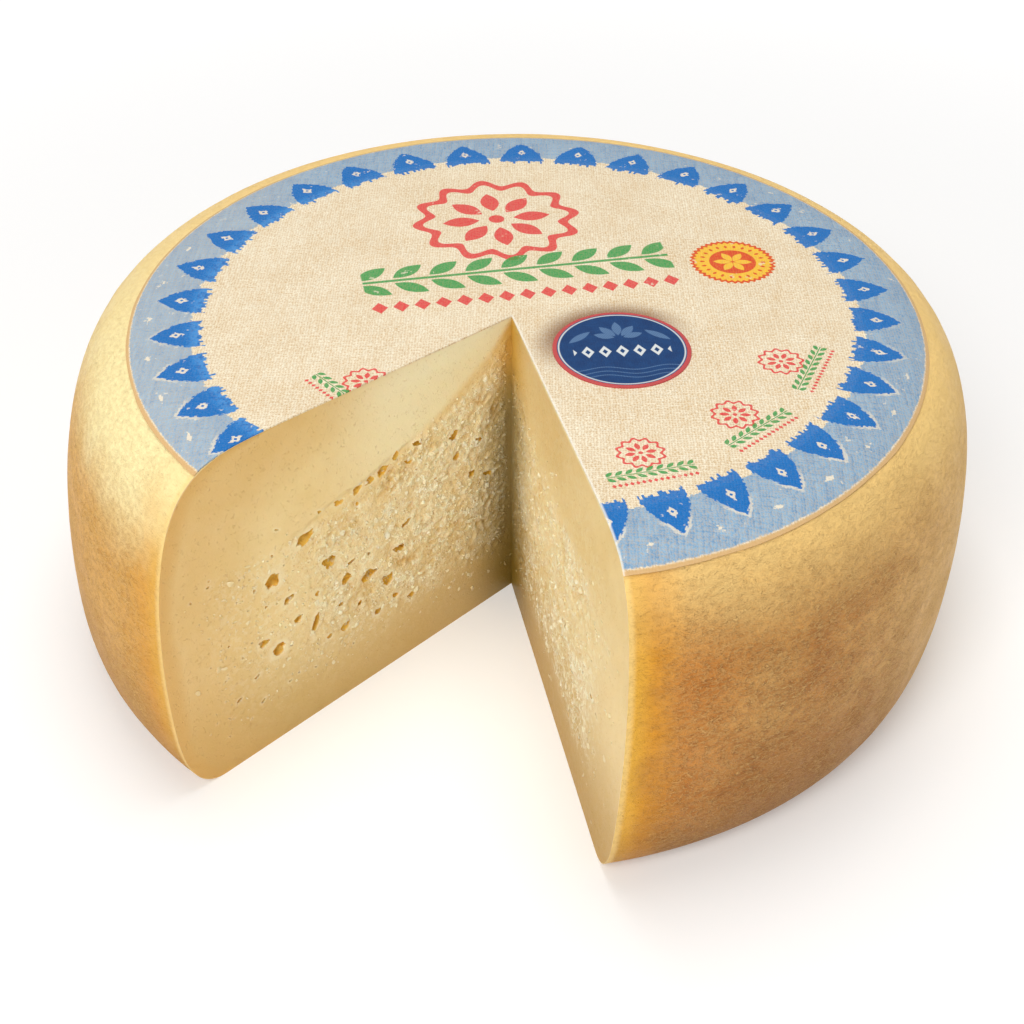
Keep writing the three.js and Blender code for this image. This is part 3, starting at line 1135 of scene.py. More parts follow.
def dress_paste(bench, shader, deepest, paler=0.0):
    """The paste, colour over colour; the numbers that multiply a mask are shares of full strength.

    Deepest is how far behind the cut the painted hollow shade is full, paler is how much lighter a crumb is.
    """
    place = bench.object_place()
    torn = bench.stored("torn")
    under_skin = bench.stored("under_skin")
    behind = bench.stored("behind_cut")
    out = bench.stored("out_from_corner")
    above_seam = bench.stored("above_seam")
    on_left = bench.stored("on_left")
    height = bench.parts(place)[2]
    below_top = WHEEL_HEIGHT * MM - height
    tone = bench.use(UNEVEN_TONE, {"Place": place, "Size": PASTE_CLOUDS})
    flaky = bench.noise(place, size=FLAKY_GRAIN, detail=4, roughness=0.68)
    speck = bench.between(flaky, 0.34, 0.66)
    chips = bench.between(flaky, 0.50, 0.57)
    grain, pits = bench.use(FINE_GRAIN, {"Place": place, "Size": PASTE_GRAIN}, ("Height", "Pits"))
    colour = bench.colour(tone * 0.5, PASTE_PALE, PASTE_SHADE)
    # painted shade towards the foot
    foot_shade = bench.fading(height + FOOT_SHADE_SHIFT * on_left, *FOOT_SHADE_HEIGHT)
    colour = bench.colour(foot_shade * (1.0 - 0.2 * on_left), colour, FOOT_OLIVE_SHADE)
    # above the seam the smooth paste is also painted paler, as painted light
    smooth = above_seam * bench.fading(out, *SMOOTH_OUT)
    upper = above_seam * bench.fading(below_top, *UPPER_DOWN) * bench.fading(out, *UPPER_OUT)
    colour = bench.colour(bench.most(smooth * 0.8, upper * 0.9), colour, PASTE_SMOOTH_AND_LIT)
    # painted highlight on paste that stands proud of the cut, mixed with the flakes' own paler colour
    proud_highlight = bench.fading(behind, *PROUD_HIGHLIGHT)
    smear = bench.between(tone, 0.45, 0.75)
    bright_and_highlight = torn * (0.06 + 0.40 * proud_highlight + 0.30 * chips + 0.34 * smear) * (0.5 + 0.5 * speck)
    grainy = bench.between(under_skin, *GRAINY_INSIDE) * (1 - above_seam)
    bright_and_highlight = bench.most(bright_and_highlight, grainy * chips * 0.20 * (1 - foot_shade))
    colour = bench.colour(bright_and_highlight + paler, colour, PASTE_FLAKE_AND_HIGHLIGHT)
    colour = bench.colour(bench.stored("near_eye") * 0.3, colour, PASTE_FLAKE_AND_HIGHLIGHT)
    # painted shade on torn paste that is sunk behind the cut
    sunk_shade = bench.between(behind, *SUNK_SHADE) * (1 - bench.between(behind, *SUNK_SHADE_TOO_DEEP))
    colour = bench.colour(torn * sunk_shade * 0.6, colour, PASTE_DRIED_AND_SHADE)
    colour = bench.colour(pits * (0.2 + 0.25 * torn + 0.2 * grainy), colour, PASTE_DRIED_AND_SHADE)
    wander = (tone - 0.5) * DRIED_WANDER
    dried = bench.fading(under_skin + wander, *DRIED_UNDER)
    outer = bench.fading(under_skin, *OUTER_UNDER)
    dry = bench.most(dried * 0.8, outer * 0.48)
    colour = bench.colour(dry * (0.15 + 0.85 * on_left), colour, PASTE_DRIED_AND_SHADE)
    topmost = bench.fading(below_top, *TOPMOST_DOWN) * bench.fading(out, *TOPMOST_OUT)
    colour = bench.colour(topmost * (1 - on_left) * 0.34, colour, PASTE_DRIED_AND_SHADE)
    edge = bench.fading(under_skin, *EDGE_LINE)
    top_line = bench.fading(below_top, *TOP_LINE) * (1 - on_left)
    colour = bench.colour(bench.most(edge * 0.75, top_line * 0.8), colour, PASTE_EDGE)
    # painted shade in the inner corner, where both cuts meet
    corner_shade_width = bench.between(below_top, *CORNER_SHADE_DOWN, *CORNER_SHADE_WIDTH) + CORNER_SHADE_WIDER * (1 - on_left)
    corner = bench.fading(out, 0.0, corner_shade_width)
    shade_gold_share = bench.fading(below_top, *SHADE_GOLD_DOWN)
    corner_shade_colour = bench.colour(shade_gold_share, CORNER_SHADE_BROWN, CORNER_SHADE_GOLD)
    low_corner_shade = bench.fading(height, *LOW_CORNER_SHADE_HEIGHT)
    reach = corner ** (1.7 - 0.4 * low_corner_shade) * (0.75 + 0.12 * low_corner_shade)
    colour = bench.colour(reach * (1 - 0.8 * smooth), colour, corner_shade_colour)
    # painted shade: the deeper behind the cut, the deeper the yellow
    deep = bench.between(behind, SUNK_SHADE[0], deepest)
    colour = bench.colour(deep * 0.85, colour, HOLLOW_SHADE_YELLOW)
    wire_up(bench, shader, colour, 0.44 + 0.16 * torn + 0.1 * speck, WAXY)
    relief = grain * (0.3 + 0.7 * torn) - pits * 0.5
    raise_bump(bench, shader, relief + flaky * (torn + 0.6 * grainy), distance=0.0005, strength=0.75)


dress_paste(paste_bench, paste_shader, CUT_DEEP)
dress_paste(eye_bench, eye_shader, EYE_DEEP)
print("paste nodes:", len(paste_look.node_tree.nodes))

# %% [markdown]
# ## The rind
# The rind was brushed while the wheel aged: its skin is golden tan with short pale fibres of dried whey,
# mostly level, brown patches and small pits. Beside the right cut it is a darker orange-brown, partly its
# own colour and partly painted shade of the side turned from the key light. The shoulders are paler, the
# left one a pale cream, partly their own colour and partly a painted highlight where the light falls on
# top. The foot is painted browner, as painted shade low down. Beside a cut the rind gets a painted yellow
# glow, which stands for light that comes through the thin edge from the paste. Fibres could be hairs, but
# they lie flat in the skin, so they are stretched noise in the colour and a low bump, laid along the rind's
# own UV map.

# %% Rind material
RIND_CLOUDS = 0.055
RIND_PATCHES = 0.017
RIND_GRAIN = 0.0009
RIND_GOLD = paint(234, 176, 76)
RIND_SUNNY = paint(255, 208, 124)
# shoulder colours, partly the rind's own and partly a painted highlight
RIND_CREAM_AND_HIGHLIGHT = paint(255, 240, 180)
RIND_BUTTER_AND_HIGHLIGHT = paint(255, 220, 142)
RIND_ORANGE = paint(186, 120, 42)
RIND_BROWN = paint(150, 90, 34)
# painted shade colour at the foot
RIND_FOOT_SHADE_UMBER = paint(150, 95, 28)
# painted glow colours: light that comes through the rind's thin edge beside a cut
RIND_PAINTED_GLOW = paint(226, 150, 12)
RIND_PAINTED_GLOW_PALE = paint(236, 177, 56)
RIND_PAINTED_EMBER = paint(206, 120, 28)
RIND_EDGE = paint(250, 216, 140)
FIBRE_PALE = paint(250, 214, 140)
LEVEL_FIBRES = dict(size=0.0024, slant=0.12, cut=0.07)
CROSSED_FIBRES = dict(size=0.0014, slant=-0.5, cut=0.065)
FIBRE_STRETCH = (0.42, 1, 1)

# %% Where each shade of the rind begins and ends, in metres of height or beside a cut
SHOULDER_SHIFT = 0.006
BAND_FROM = (0.012, 0.045)
BAND_TO = (0.095, 0.122)
RIND_WANDER = 0.012
# where the painted glow beside the cuts begins and ends
PAINTED_GLOW_RIGHT = (0.000, 0.025)
PAINTED_GLOW_LEFT = (0.002, 0.030)
PAINTED_EMBER_FROM = (0.006, 0.020)
PAINTED_EMBER_TO = (0.020, 0.055)
PAINTED_GLOW_DEEPENS = (0.002, 0.011)
PALE_EDGE = (0.0006, 0.0032)
CALM_EDGE = (0.004, 0.024)
# how far the darker right side reaches; it is partly painted shade
DARKER_RIGHT_BESIDE = (0.07, 0.20)
LEFT_BESIDE = (0.05, 0.34)
SHOULDER_HEIGHT = (0.096, 0.134)
RIND_FOOT_SHADE_HEIGHT = (0.004, 0.080)


def fibres(bench, place, size, slant, cut):
    """Thin curling strokes: the lines along which a stretched noise passes its middle value."""
    turned = bench.laid(place, turn=slant)
    stretched = bench.vector("MULTIPLY", turned, FIBRE_STRETCH)
    from_middle = abs(bench.noise(stretched, size=size, detail=2, roughness=0.6) - 0.5)
    return bench.fading(from_middle, 0.0, cut)


def dress_rind(bench, shader):
    """The rind: base tone, painted shade at the foot and beside the right cut, shoulders with a painted
    highlight, then the painted glow beside the cuts, then fibres and grain.
    """
    place = bench.object_place()
    skin = bench.surface_place()
    height = bench.parts(place)[2]
    broad = bench.use(UNEVEN_TONE, {"Place": place, "Size": RIND_CLOUDS})
    patches = bench.use(UNEVEN_TONE, {"Place": skin, "Size": RIND_PATCHES})
    grain, pits = bench.use(FINE_GRAIN, {"Place": skin, "Size": RIND_GRAIN}, ("Height", "Pits"))
    level_fibres = fibres(bench, skin, **LEVEL_FIBRES)
    crossed_fibres = fibres(bench, skin, **CROSSED_FIBRES)
    strokes = bench.most(level_fibres * (0.35 + 0.65 * patches), crossed_fibres * 0.85)
    strokes = strokes * bench.between(grain, 0.36, 0.62, 0.2, 1.0)
    near_right = bench.stored("near_right_cut")
    near_left = bench.stored("near_left_cut")
    nearest = bench.math("MINIMUM", near_right, near_left)
    # beside the right cut: partly the rind's own darker colour, partly painted shade
    right_darker_and_shade = bench.fading(near_right, *DARKER_RIGHT_BESIDE)
    left_side = bench.fading(near_left, *LEFT_BESIDE)
    plain = bench.colour(left_side, RIND_SUNNY, RIND_GOLD)
    colour = bench.colour(right_darker_and_shade * 0.75 + broad * 0.22, plain, RIND_ORANGE)
    colour = bench.colour((1 - broad) * right_darker_and_shade * 0.35, colour, RIND_SUNNY)
    colour = bench.colour(patches * (0.06 + 0.52 * right_darker_and_shade + 0.12 * left_side), colour, RIND_BROWN)
    # painted shade: the rind darkens towards the foot
    foot = bench.fading(height, *RIND_FOOT_SHADE_HEIGHT)
    colour = bench.colour(foot * (0.06 + 0.82 * right_darker_and_shade + 0.62 * left_side), colour, RIND_FOOT_SHADE_UMBER)
    # the shoulders paler: partly their own colour, partly a painted highlight where light falls on top
    cream_height = height + (broad - 0.5) * RIND_WANDER + left_side * SHOULDER_SHIFT
    shoulder = bench.between(cream_height, *SHOULDER_HEIGHT)
    cream_and_highlight = bench.colour(left_side, RIND_BUTTER_AND_HIGHLIGHT, RIND_CREAM_AND_HIGHLIGHT)
    colour = bench.colour(shoulder * (0.70 + 0.30 * left_side), colour, cream_and_highlight)
    band = bench.between(height, *BAND_FROM) * bench.fading(height, *BAND_TO)
    wander = (broad - 0.5) * RIND_WANDER
    # painted glow beside the cuts, for light that comes through the thin edge
    right_painted_glow = bench.fading(near_right + wander, *PAINTED_GLOW_RIGHT) ** 1.2 * (0.5 + 0.5 * band)
    left_painted_glow = bench.fading(near_left + wander, *PAINTED_GLOW_LEFT) * (0.2 + 0.45 * band)
    painted_glow = bench.most(right_painted_glow, left_painted_glow)
    painted_ember = bench.between(near_right, *PAINTED_EMBER_FROM) * bench.fading(near_right, *PAINTED_EMBER_TO)
    colour = bench.colour(painted_ember * band * 0.5, colour, RIND_PAINTED_EMBER)
    painted_glow_colour = bench.colour(bench.between(nearest, *PAINTED_GLOW_DEEPENS), RIND_PAINTED_GLOW_PALE, RIND_PAINTED_GLOW)
    colour = bench.colour(painted_glow * 0.95, colour, painted_glow_colour)
    colour = bench.colour(bench.fading(nearest, *PALE_EDGE) * 0.7, colour, RIND_EDGE)
    calm = (1 - 0.85 * painted_glow) * (1 - 0.45 * shoulder)
    at_edge = bench.fading(nearest, *CALM_EDGE)
    paler = strokes * calm * (1 - 0.5 * at_edge) * (0.46 + 0.2 * left_side)
    colour = bench.colour(paler, colour, FIBRE_PALE)
    dark_grain = (1 - strokes) * bench.between(grain, 0.40, 0.60) + pits
    darker = bench.colour(right_darker_and_shade * (1 - shoulder), RIND_ORANGE, RIND_BROWN)
    darkened = dark_grain * (1 - 0.8 * at_edge) * (1 - 0.75 * shoulder)
    darkened = darkened * (0.28 + 0.18 * right_darker_and_shade + 0.30 * left_side)
    colour = bench.colour(darkened, colour, darker)
    wire_up(bench, shader, colour, 0.46 + 0.15 * patches + 0.1 * strokes, {"Specular IOR Level": 0.25})
    relief = strokes * 0.6 + grain * 0.6 + patches * 0.6 - pits * 0.6
    relief = relief * (1 - 0.35 * shoulder) * (1 - 0.35 * at_edge)
    raise_bump(bench, shader, relief, distance=0.0006, strength=0.85)


dress_rind(rind_bench, rind_shader)
print("rind nodes:", len(rind_look.node_tree.nodes))

# %% [markdown]
# ## The printed label
# The label is a printed disc that was pressed onto the young wheel, so it lies on the cheese everywhere
# and follows the shoulder. Draping it by simulation would only find the surface it is bonded to, so its
# points are set on the wheel's own top. It is built on rays from the inner corner, which makes both cut
# edges lie exactly on the knife's path, as on the real one, where the knife went through both at once.

# %% Label mesh
LABEL_RADIUS = 147.0
LABEL_MIDDLE = WHEEL_AXIS + np.array([-2.5, -7.5])
LABEL_LIFT = 0.04
LABEL_THICKNESS = 0.62
LABEL_RAYS = 300
LABEL_RINGS = 44
LABEL_RIPPLE = 0.16
LABEL_RIM = 0.14
RINGS_CLOSER = 0.9
RIPPLE_SIZE = 26.0
WAVER_DEPTH = 0.5
WAVER_SIZE = 9.0
WAVER_CIRCLE = 120


def label_points():
    """Where the label's underside lies: rows are rings out from the corner, columns are rays."""
    turn = np.linspace(0, 1, LABEL_RAYS + 1)
    share = np.linspace(0, 1, LABEL_RINGS + 1) ** RINGS_CLOSER
    height = np.full((len(share), len(turn)), WHEEL_HEIGHT)
    for _ in range(3):
        rows = []
        for ring, part in enumerate(share):
            level = height[ring]
            start = knife_line(level)
            right = knife_azimuth("right", level)
            left = knife_azimuth("left", level) + 2 * math.pi
            azimuth = right + turn * (left - right)
            middle = np.repeat(LABEL_MIDDLE[None, :], len(turn), axis=0)
            circle = np.column_stack([WAVER_CIRCLE * towards(azimuth), 0 * azimuth])
            edge = LABEL_RADIUS - WAVER_DEPTH * lumps(circle, WAVER_SIZE, 3)
            reach = reach_to_circle(start, azimuth, middle, edge)
            flat = start + (part * reach)[:, None] * towards(azimuth)
            height[ring] = top_height(flat[:, 0], flat[:, 1])
            rows.append(flat)
        flat = np.array(rows)
    return flat, height


def label_mesh(name):
    flat, height = label_points()
    rings, rays = height.shape
    spread = np.column_stack([flat.reshape(-1, 2), np.zeros(rings * rays)])
    ripple = LABEL_RIPPLE * layered(spread, RIPPLE_SIZE, 3, 91).reshape(height.shape)
    lower = np.concatenate([flat, (height + LABEL_LIFT)[:, :, None]], axis=2)
    pressed = LABEL_THICKNESS - ripple
    pressed[-1] = LABEL_RIM
    upper = np.concatenate([flat, (height + LABEL_LIFT + pressed)[:, :, None]], axis=2)
    at = np.arange(rings * rays).reshape(rings, rays)
    at[0, :] = at[0, 0]
    top, low = at, at + rings * rays
    faces = []
    for quad in grid_quads(top.T) + grid_quads(low.T, flip=True):
        faces.append(list(dict.fromkeys(quad)))
    walls = [(top[-1], low[-1]), (top[::-1, -1], low[::-1, -1]), (top[:, 0], low[:, 0])]
    for above, below in walls:
        for step in range(len(above) - 1):
            quad = [below[step], below[step + 1], above[step + 1], above[step]]
            faces.append([int(index) for index in quad])
    mesh = new_mesh(name, np.concatenate([upper.reshape(-1, 3), lower.reshape(-1, 3)]), faces)
    tidy = bmesh.new()
    tidy.from_mesh(mesh)
    bmesh.ops.delete(tidy, geom=[vertex for vertex in tidy.verts if not vertex.link_faces], context="VERTS")
    tidy.to_mesh(mesh)
    print("label: closed", all(edge.is_manifold for edge in tidy.edges), "faces", len(mesh.polygons))
    tidy.free()
    shade_smooth(mesh)
    return mesh


label = placed("printed_label", label_mesh("printed_label"))

# %% [markdown]
# ## Shapes for the print
# Print is flat, so it belongs in the colour and not in the mesh. Every motif is built from three plain
# shapes, a ring, a leaf and a circle of petals, each a node group that says how far inside it a place is.
# Places are in millimetres as seen from the motif's own middle.


# %% Print groups: ring, leaf, petals
INK_SOFTNESS = 0.22
THREAD_WANDER = dict(size=2.1, detail=3, roughness=0.7)
WANDER_ACROSS, WANDER_DOWN = 2.3, 2.1
THREAD_RUN = 0.14


def ring_group():
    bench, given, end = new_group("print_ring", {"Place": None, "Radius": 10, "Line": 1}, ["Ink"])
    off_line = abs(bench.length(given["Place"]) - given["Radius"])
    return bench.give(end, {"Ink": bench.inside(given["Line"] * 0.5 - off_line, INK_SOFTNESS)})


def leaf_group():
    """One pointed leaf along x: its edge is a parabola on each side."""
    bench, given, end = new_group("print_leaf", {"Place": None, "Length": 10, "Width": 4}, ["Ink"])
    x, y, _ = bench.parts(given["Place"])
    along = x * 2 / given["Length"]
    inside = (1 - along * along) * given["Width"] * 0.5 - abs(y)
    return bench.give(end, {"Ink": bench.inside(inside, INK_SOFTNESS)})


def petals_group():
    """A circle of leaves: the place is folded into one petal's share of the turn."""
    sockets = {"Place": None, "Count": 8, "Middle": 8, "Length": 8, "Width": 4}
    bench, given, end = new_group("print_petals", sockets, ["Ink"])
    x, y, _ = bench.parts(given["Place"])
    share = bench.math("DIVIDE", 2 * math.pi, given["Count"])
    folded = bench.folded(bench.math("ARCTAN2", y, x) / share, share)
    far = bench.length(given["Place"])
    along = far * bench.math("COSINE", folded) - given["Middle"]
    petal = bench.place(along, far * bench.math("SINE", folded))
    leaf = {"Place": petal, "Length": given["Length"], "Width": given["Width"]}
    return bench.give(end, {"Ink": bench.use(PRINT_LEAF, leaf)})


def weave_group():
    """Plain weave: two sets of threads that pass over and under each other, some thicker than others.

    A thread keeps its thickness over one run, and a run's share per crossing is THREAD_RUN.
    """
    bench, given, end = new_group("plain_weave", {"Place": None, "Pitch": 1}, ["Height", "Gap", "Thread"])
    jitter = bench.noise(given["Place"], **THREAD_WANDER) - 0.5
    x, y, _ = bench.parts(given["Place"])
    across = (x + jitter * WANDER_ACROSS) / given["Pitch"]
    down = (y - jitter * WANDER_DOWN) / given["Pitch"]
    turn = 2 * math.pi
    row, column = bench.math("ROUND", across), bench.math("ROUND", down)
    thick = bench.chance(bench.place(row, bench.math("FLOOR", down * THREAD_RUN)))
    thin = bench.chance(bench.place(column, bench.math("FLOOR", across * THREAD_RUN), 3.0))
    warp = 0.5 + 0.5 * bench.math("COSINE", across * turn)
    weft = 0.5 + 0.5 * bench.math("COSINE", down * turn)
    over = 0.5 + 0.5 * bench.math("COSINE", (row + column) * math.pi)
    height = warp * (0.3 + 0.7 * over) * (0.4 + 0.4 * thick) + weft * (1 - 0.7 * over) * (0.3 + 0.4 * thin)
    gap = bench.fading(warp + weft, 0.3, 1.1)
    return bench.give(end, {"Height": height, "Gap": gap, "Thread": thick * 0.6 + thin * 0.4})


PRINT_RING = ring_group()
PRINT_LEAF = leaf_group()
PRINT_PETALS = petals_group()
PLAIN_WEAVE = weave_group()
print("print groups:", [group.name for group in (PRINT_RING, PRINT_LEAF, PRINT_PETALS, PLAIN_WEAVE)])


# %% Print group: the flower emblem
SCALLOPS = dict(radius=29.5, depth=2.6, count=12, half_line=2.1)
FLOWER_PETALS = {"Count": 8, "Middle": 14.5, "Length": 15, "Width": 7.5}
FLOWER_HEART = {"Radius": 0, "Line": 6.4}
ROW_HALF_LENGTH = 60
GARLAND = dict(below=41, pitch=14.0, off_stem=6.0, half_stem=0.8, lean=math.radians(34))
GARLAND_LEAF = {"Length": 14.5, "Width": 6.4}
DIAMONDS = dict(below=60, pitch=8.0, half_width=3.1, flatter=0.8)


def emblem_group():
    """A red scalloped flower over a green garland and a row of small red diamonds."""
    bench, given, end = new_group("print_emblem", {"Place": None}, ["Red", "Green"])
    place = given["Place"]
    x, y, _ = bench.parts(place)
    turn = bench.math("ARCTAN2", y, x)
    scallop = SCALLOPS["radius"] + SCALLOPS["depth"] * bench.math("COSINE", turn * SCALLOPS["count"])
    rim = bench.inside(SCALLOPS["half_line"] - abs(bench.length(place) - scallop), INK_SOFTNESS)
    petals = bench.use(PRINT_PETALS, {"Place": place, **FLOWER_PETALS})
    heart = bench.use(PRINT_RING, {"Place": place, **FLOWER_HEART})
    in_row = bench.inside(ROW_HALF_LENGTH - abs(x), 0.3)
    off_stem = abs(y + GARLAND["below"])
    along = bench.folded(x / GARLAND["pitch"], GARLAND["pitch"])
    leaf_place = bench.place(along, off_stem - GARLAND["off_stem"])
    leaf_place = bench.laid(leaf_place, turn=GARLAND["lean"])
    leaves = bench.use(PRINT_LEAF, {"Place": leaf_place, **GARLAND_LEAF})
    stem = bench.inside(GARLAND["half_stem"] - off_stem, INK_SOFTNESS)
    aside = abs(bench.folded(x / DIAMONDS["pitch"], DIAMONDS["pitch"]))
    above = abs(y + DIAMONDS["below"]) * DIAMONDS["flatter"]
    diamonds = bench.inside(DIAMONDS["half_width"] - aside - above, INK_SOFTNESS) * in_row
    red = bench.most(rim, petals, heart, diamonds)
    return bench.give(end, {"Red": red, "Green": bench.most(leaves, stem) * in_row})


PRINT_EMBLEM = emblem_group()
print("emblem nodes:", len(PRINT_EMBLEM.nodes))


# %% Print group: the border of pennants
PENNANT_COUNT = 35
PENNANT_TURN = 360 / PENNANT_COUNT
FIRST_PENNANT = -77.5
PENNANT_FOOT, PENNANT_TIP = 119.6, 137.8
PENNANT_HALF_WIDTH = 4.1
PENNANT_POWER = 1.9
RAGGED_SIDE, WOBBLY_SIDE = 0.42, 0.7
FRINGE = dict(up=0.9, down=2.4, wobble=1.4, strands=2.1)
BORDER_INNER, BORDER_OUTER = 123.6, 145.2
STRETCH_ANGLE, STRETCH_MIDDLE, STRETCH_START = 4.6, 130.0, 3.6
DEGREE = math.pi / 180
THREAD = 0.9
LOZENGE = dict(at=128.6, arc=128.5, high=2.6, wide=1.7, hollow=0.7)
SPOT = dict(at=139.2, arc=139, high=1.2, wide=2.4)


def border_group():
    """Blue pennants on a light-blue band, with ragged woven edges, a white lozenge in each, and wear.

    Ragged is one random step per thread and wobble is a slow wander: both shift the edges a little.
    """
    names = ["Band", "Pennant", "Faded", "Bare"]
    bench, given, end = new_group("print_border", {"Place": None, "Wear": 0}, names)
    place = given["Place"]
    x, y, _ = bench.parts(place)
    far = bench.length(place)
    started = bench.math("ARCTAN2", y, x) * (180 / math.pi) + STRETCH_START
    even = started
    for _ in range(2):
        even = started - STRETCH_ANGLE * bench.math("SINE", (even - STRETCH_MIDDLE) * DEGREE)
    step = (even - FIRST_PENNANT) / PENNANT_TURN
    fold = bench.folded(step, PENNANT_TURN)
    thread_cell = bench.vector("FLOOR", bench.vector("DIVIDE", place, (THREAD, THREAD, THREAD)))
    ragged = bench.chance(thread_cell) - 0.5
    wobble = bench.noise(place, size=3.2, detail=2) - 0.5
    rise = bench.most((far - PENNANT_FOOT) / (PENNANT_TIP - PENNANT_FOOT), 0.0)
    side = PENNANT_HALF_WIDTH * (1 - rise ** PENNANT_POWER) - abs(fold)
    side = side + ragged * RAGGED_SIDE + wobble * WOBBLY_SIDE
    strand = bench.chance(bench.vector("FLOOR", bench.place(even * FRINGE["strands"], 0.0)))
    fringe = PENNANT_FOOT + FRINGE["up"] - FRINGE["down"] * strand * strand + wobble * FRINGE["wobble"]
    pennant = bench.inside(side, 0.07) * bench.inside(far - fringe, 0.25)
    band = bench.inside(far - BORDER_INNER + wobble * 2.4 + ragged * 0.8, 0.3)
    band = band * bench.inside(BORDER_OUTER - far + wobble * 0.8 + ragged * 0.3, 0.25)
    off_middle = abs(far - LOZENGE["at"])
    across = abs(fold * DEGREE * LOZENGE["arc"])
    lozenge = 1 - off_middle / LOZENGE["high"] - across / LOZENGE["wide"]
    lozenge = bench.inside(lozenge + wobble * 0.5 + ragged * 0.5, 0.12)
    lozenge = lozenge * bench.inside(off_middle + across - LOZENGE["hollow"], 0.12)
    across = bench.folded(step - 0.5, PENNANT_TURN) * DEGREE * SPOT["arc"]
    spot = 1 - abs(far - SPOT["at"] + wobble * 4) / SPOT["high"] - abs(across + wobble * 5) / SPOT["wide"]
    spot = bench.inside(spot + ragged * 0.9 - 0.25, 0.15) * bench.fading(y + x * 0.35, -10, 40)
    tip_sliver = bench.inside(0.32 - abs(side + 0.3), 0.15) * bench.between(rise, 0.55, 0.8)
    tip_sliver = tip_sliver * bench.inside(1.16 - rise, 0.03) * bench.fading(y, -60, 20)
    scuff = bench.inside(given["Wear"] - 0.86, 0.03) * bench.inside(ragged + 0.1, 0.1)
    bare = bench.most(lozenge * pennant, spot * band, tip_sliver * 0.65, scuff * 0.7)
    faded = bench.fading(rise, 0.08, 0.42) * (0.25 + 0.75 * bench.between(x, -40, -100))
    faded = faded * bench.between(wobble + ragged * 0.3, -0.2, 0.1)
    return bench.give(end, {"Band": band, "Pennant": pennant, "Faded": faded, "Bare": bare})


PRINT_BORDER = border_group()
print("border nodes:", len(PRINT_BORDER.nodes), "pennants:", PENNANT_COUNT)

# %% [markdown]
# ## The label's material
# The ground is undyed cloth with a visible weave. Each ink is one colour under a mask from the groups
# above, and less ink took in the gaps between threads, so every edge is a little broken. The print is laid
# out in millimetres from the label's middle, turned as the wheel stands in the photograph.

# %% Label material
PRINT_TURN = math.radians(28)
CLOTH_LIGHT = paint(255, 246, 222)
CLOTH_DARK = paint(208, 174, 124)
CLOTH_WORN = paint(244, 230, 204)
CLOTH_CUT = paint(255, 250, 236)
MARGIN_TAN = paint(210, 168, 110)
BAND_BLUE = paint(138, 178, 208)
BAND_DEEP = paint(94, 144, 188)
PENNANT_BLUE = paint(0, 110, 188)
FADED_BLUE = paint(62, 150, 220)
INK_RED = paint(224, 40, 50)
INK_GREEN = paint(20, 152, 68)
SEAL_YELLOW = paint(248, 195, 42)
SEAL_RED = paint(220, 62, 38)
# painted shadow: the brown of the shadow that the badge seems to cast on the cloth
BADGE_SHADOW_BROWN = paint(128, 84, 48)
BADGE_MIDDLE = WHEEL_AXIS + np.array([13.7, -48.6])
BADGE_RADIUS = 24.8
EMBLEM_REACH = 92
EMBLEMS = {
    "large": dict(right=-12.7, away=67.8, turn=12.3, scale=1.0),
    "front": dict(right=36.9, away=-90.6, turn=16, scale=0.25),
    "corner": dict(right=69.9, away=-68.1, turn=43, scale=0.25),
    "side": dict(right=89.6, away=-34.8, turn=67, scale=0.25),
    "by the cut": dict(right=-55.8, away=-51.2, turn=-47, scale=0.25),
}
SEAL = dict(right=79.6, away=35.6, radius=16.2, rim=1.5, notches=40, notch=0.5)
SEAL_DOTS = {"Count": 22, "Middle": 11.8, "Length": 2.2, "Width": 1.2}
SEAL_HEART = {"Radius": 0, "Line": 18.2}
SEAL_STAR = {"Count": 6, "Middle": 4.0, "Length": 7.0, "Width": 3.2}
CLOTH_PITCH = 1.02
STAIN_SIZE = 26.0
SPECK_SIZE = 1.05
WEAR_SIZE = 5.5
MARGIN_SOFTNESS = 0.7
BADGE_SHADOW_WIDTH = 12


def print_place(bench, middle):
    """Millimetres from a middle on the top: x to the photograph's right, y away from it."""
    centre = (float(middle[0]) * MM, float(middle[1]) * MM, 0)
    x, y, _ = bench.parts(bench.laid(bench.object_place(), centre=centre, turn=-PRINT_TURN, scale=MM))
    return bench.place(x, y)


def from_knife(bench):
    """How far, in millimetres, a place is from the right knife cut."""
    x, y, z = bench.parts(bench.object_place())
    depth = 1 - z / (WHEEL_HEIGHT * MM)
    top, base = KNIFE_AZIMUTH["right"]["top"], KNIFE_AZIMUTH["right"]["base"]
    corner = WHEEL_AXIS + KNIFE_CORNER["top"]
    azimuth = top + (base - top) * depth
    right, away = x / MM - float(corner[0]), y / MM - float(corner[1])
    sine, cosine = bench.math("SINE", azimuth), bench.math("COSINE", azimuth)
    behind_corner = bench.most((right * cosine + away * sine) * -1.0, 0.0)
    return abs(right * sine - away * cosine) + behind_corner


def nearest_emblem(bench, place):
    """The place as seen from the emblem that it lies in, or else from the large one."""
    seen = None
    for emblem in EMBLEMS.values():
        centre = (emblem["right"], emblem["away"], 0)
        own = bench.laid(place, centre=centre, turn=math.radians(emblem["turn"]), scale=emblem["scale"])
        if seen is None:
            seen = own
        else:
            near = bench.math("LESS_THAN", bench.length(own), EMBLEM_REACH)
            seen = bench.either(near, seen, own)
    return seen


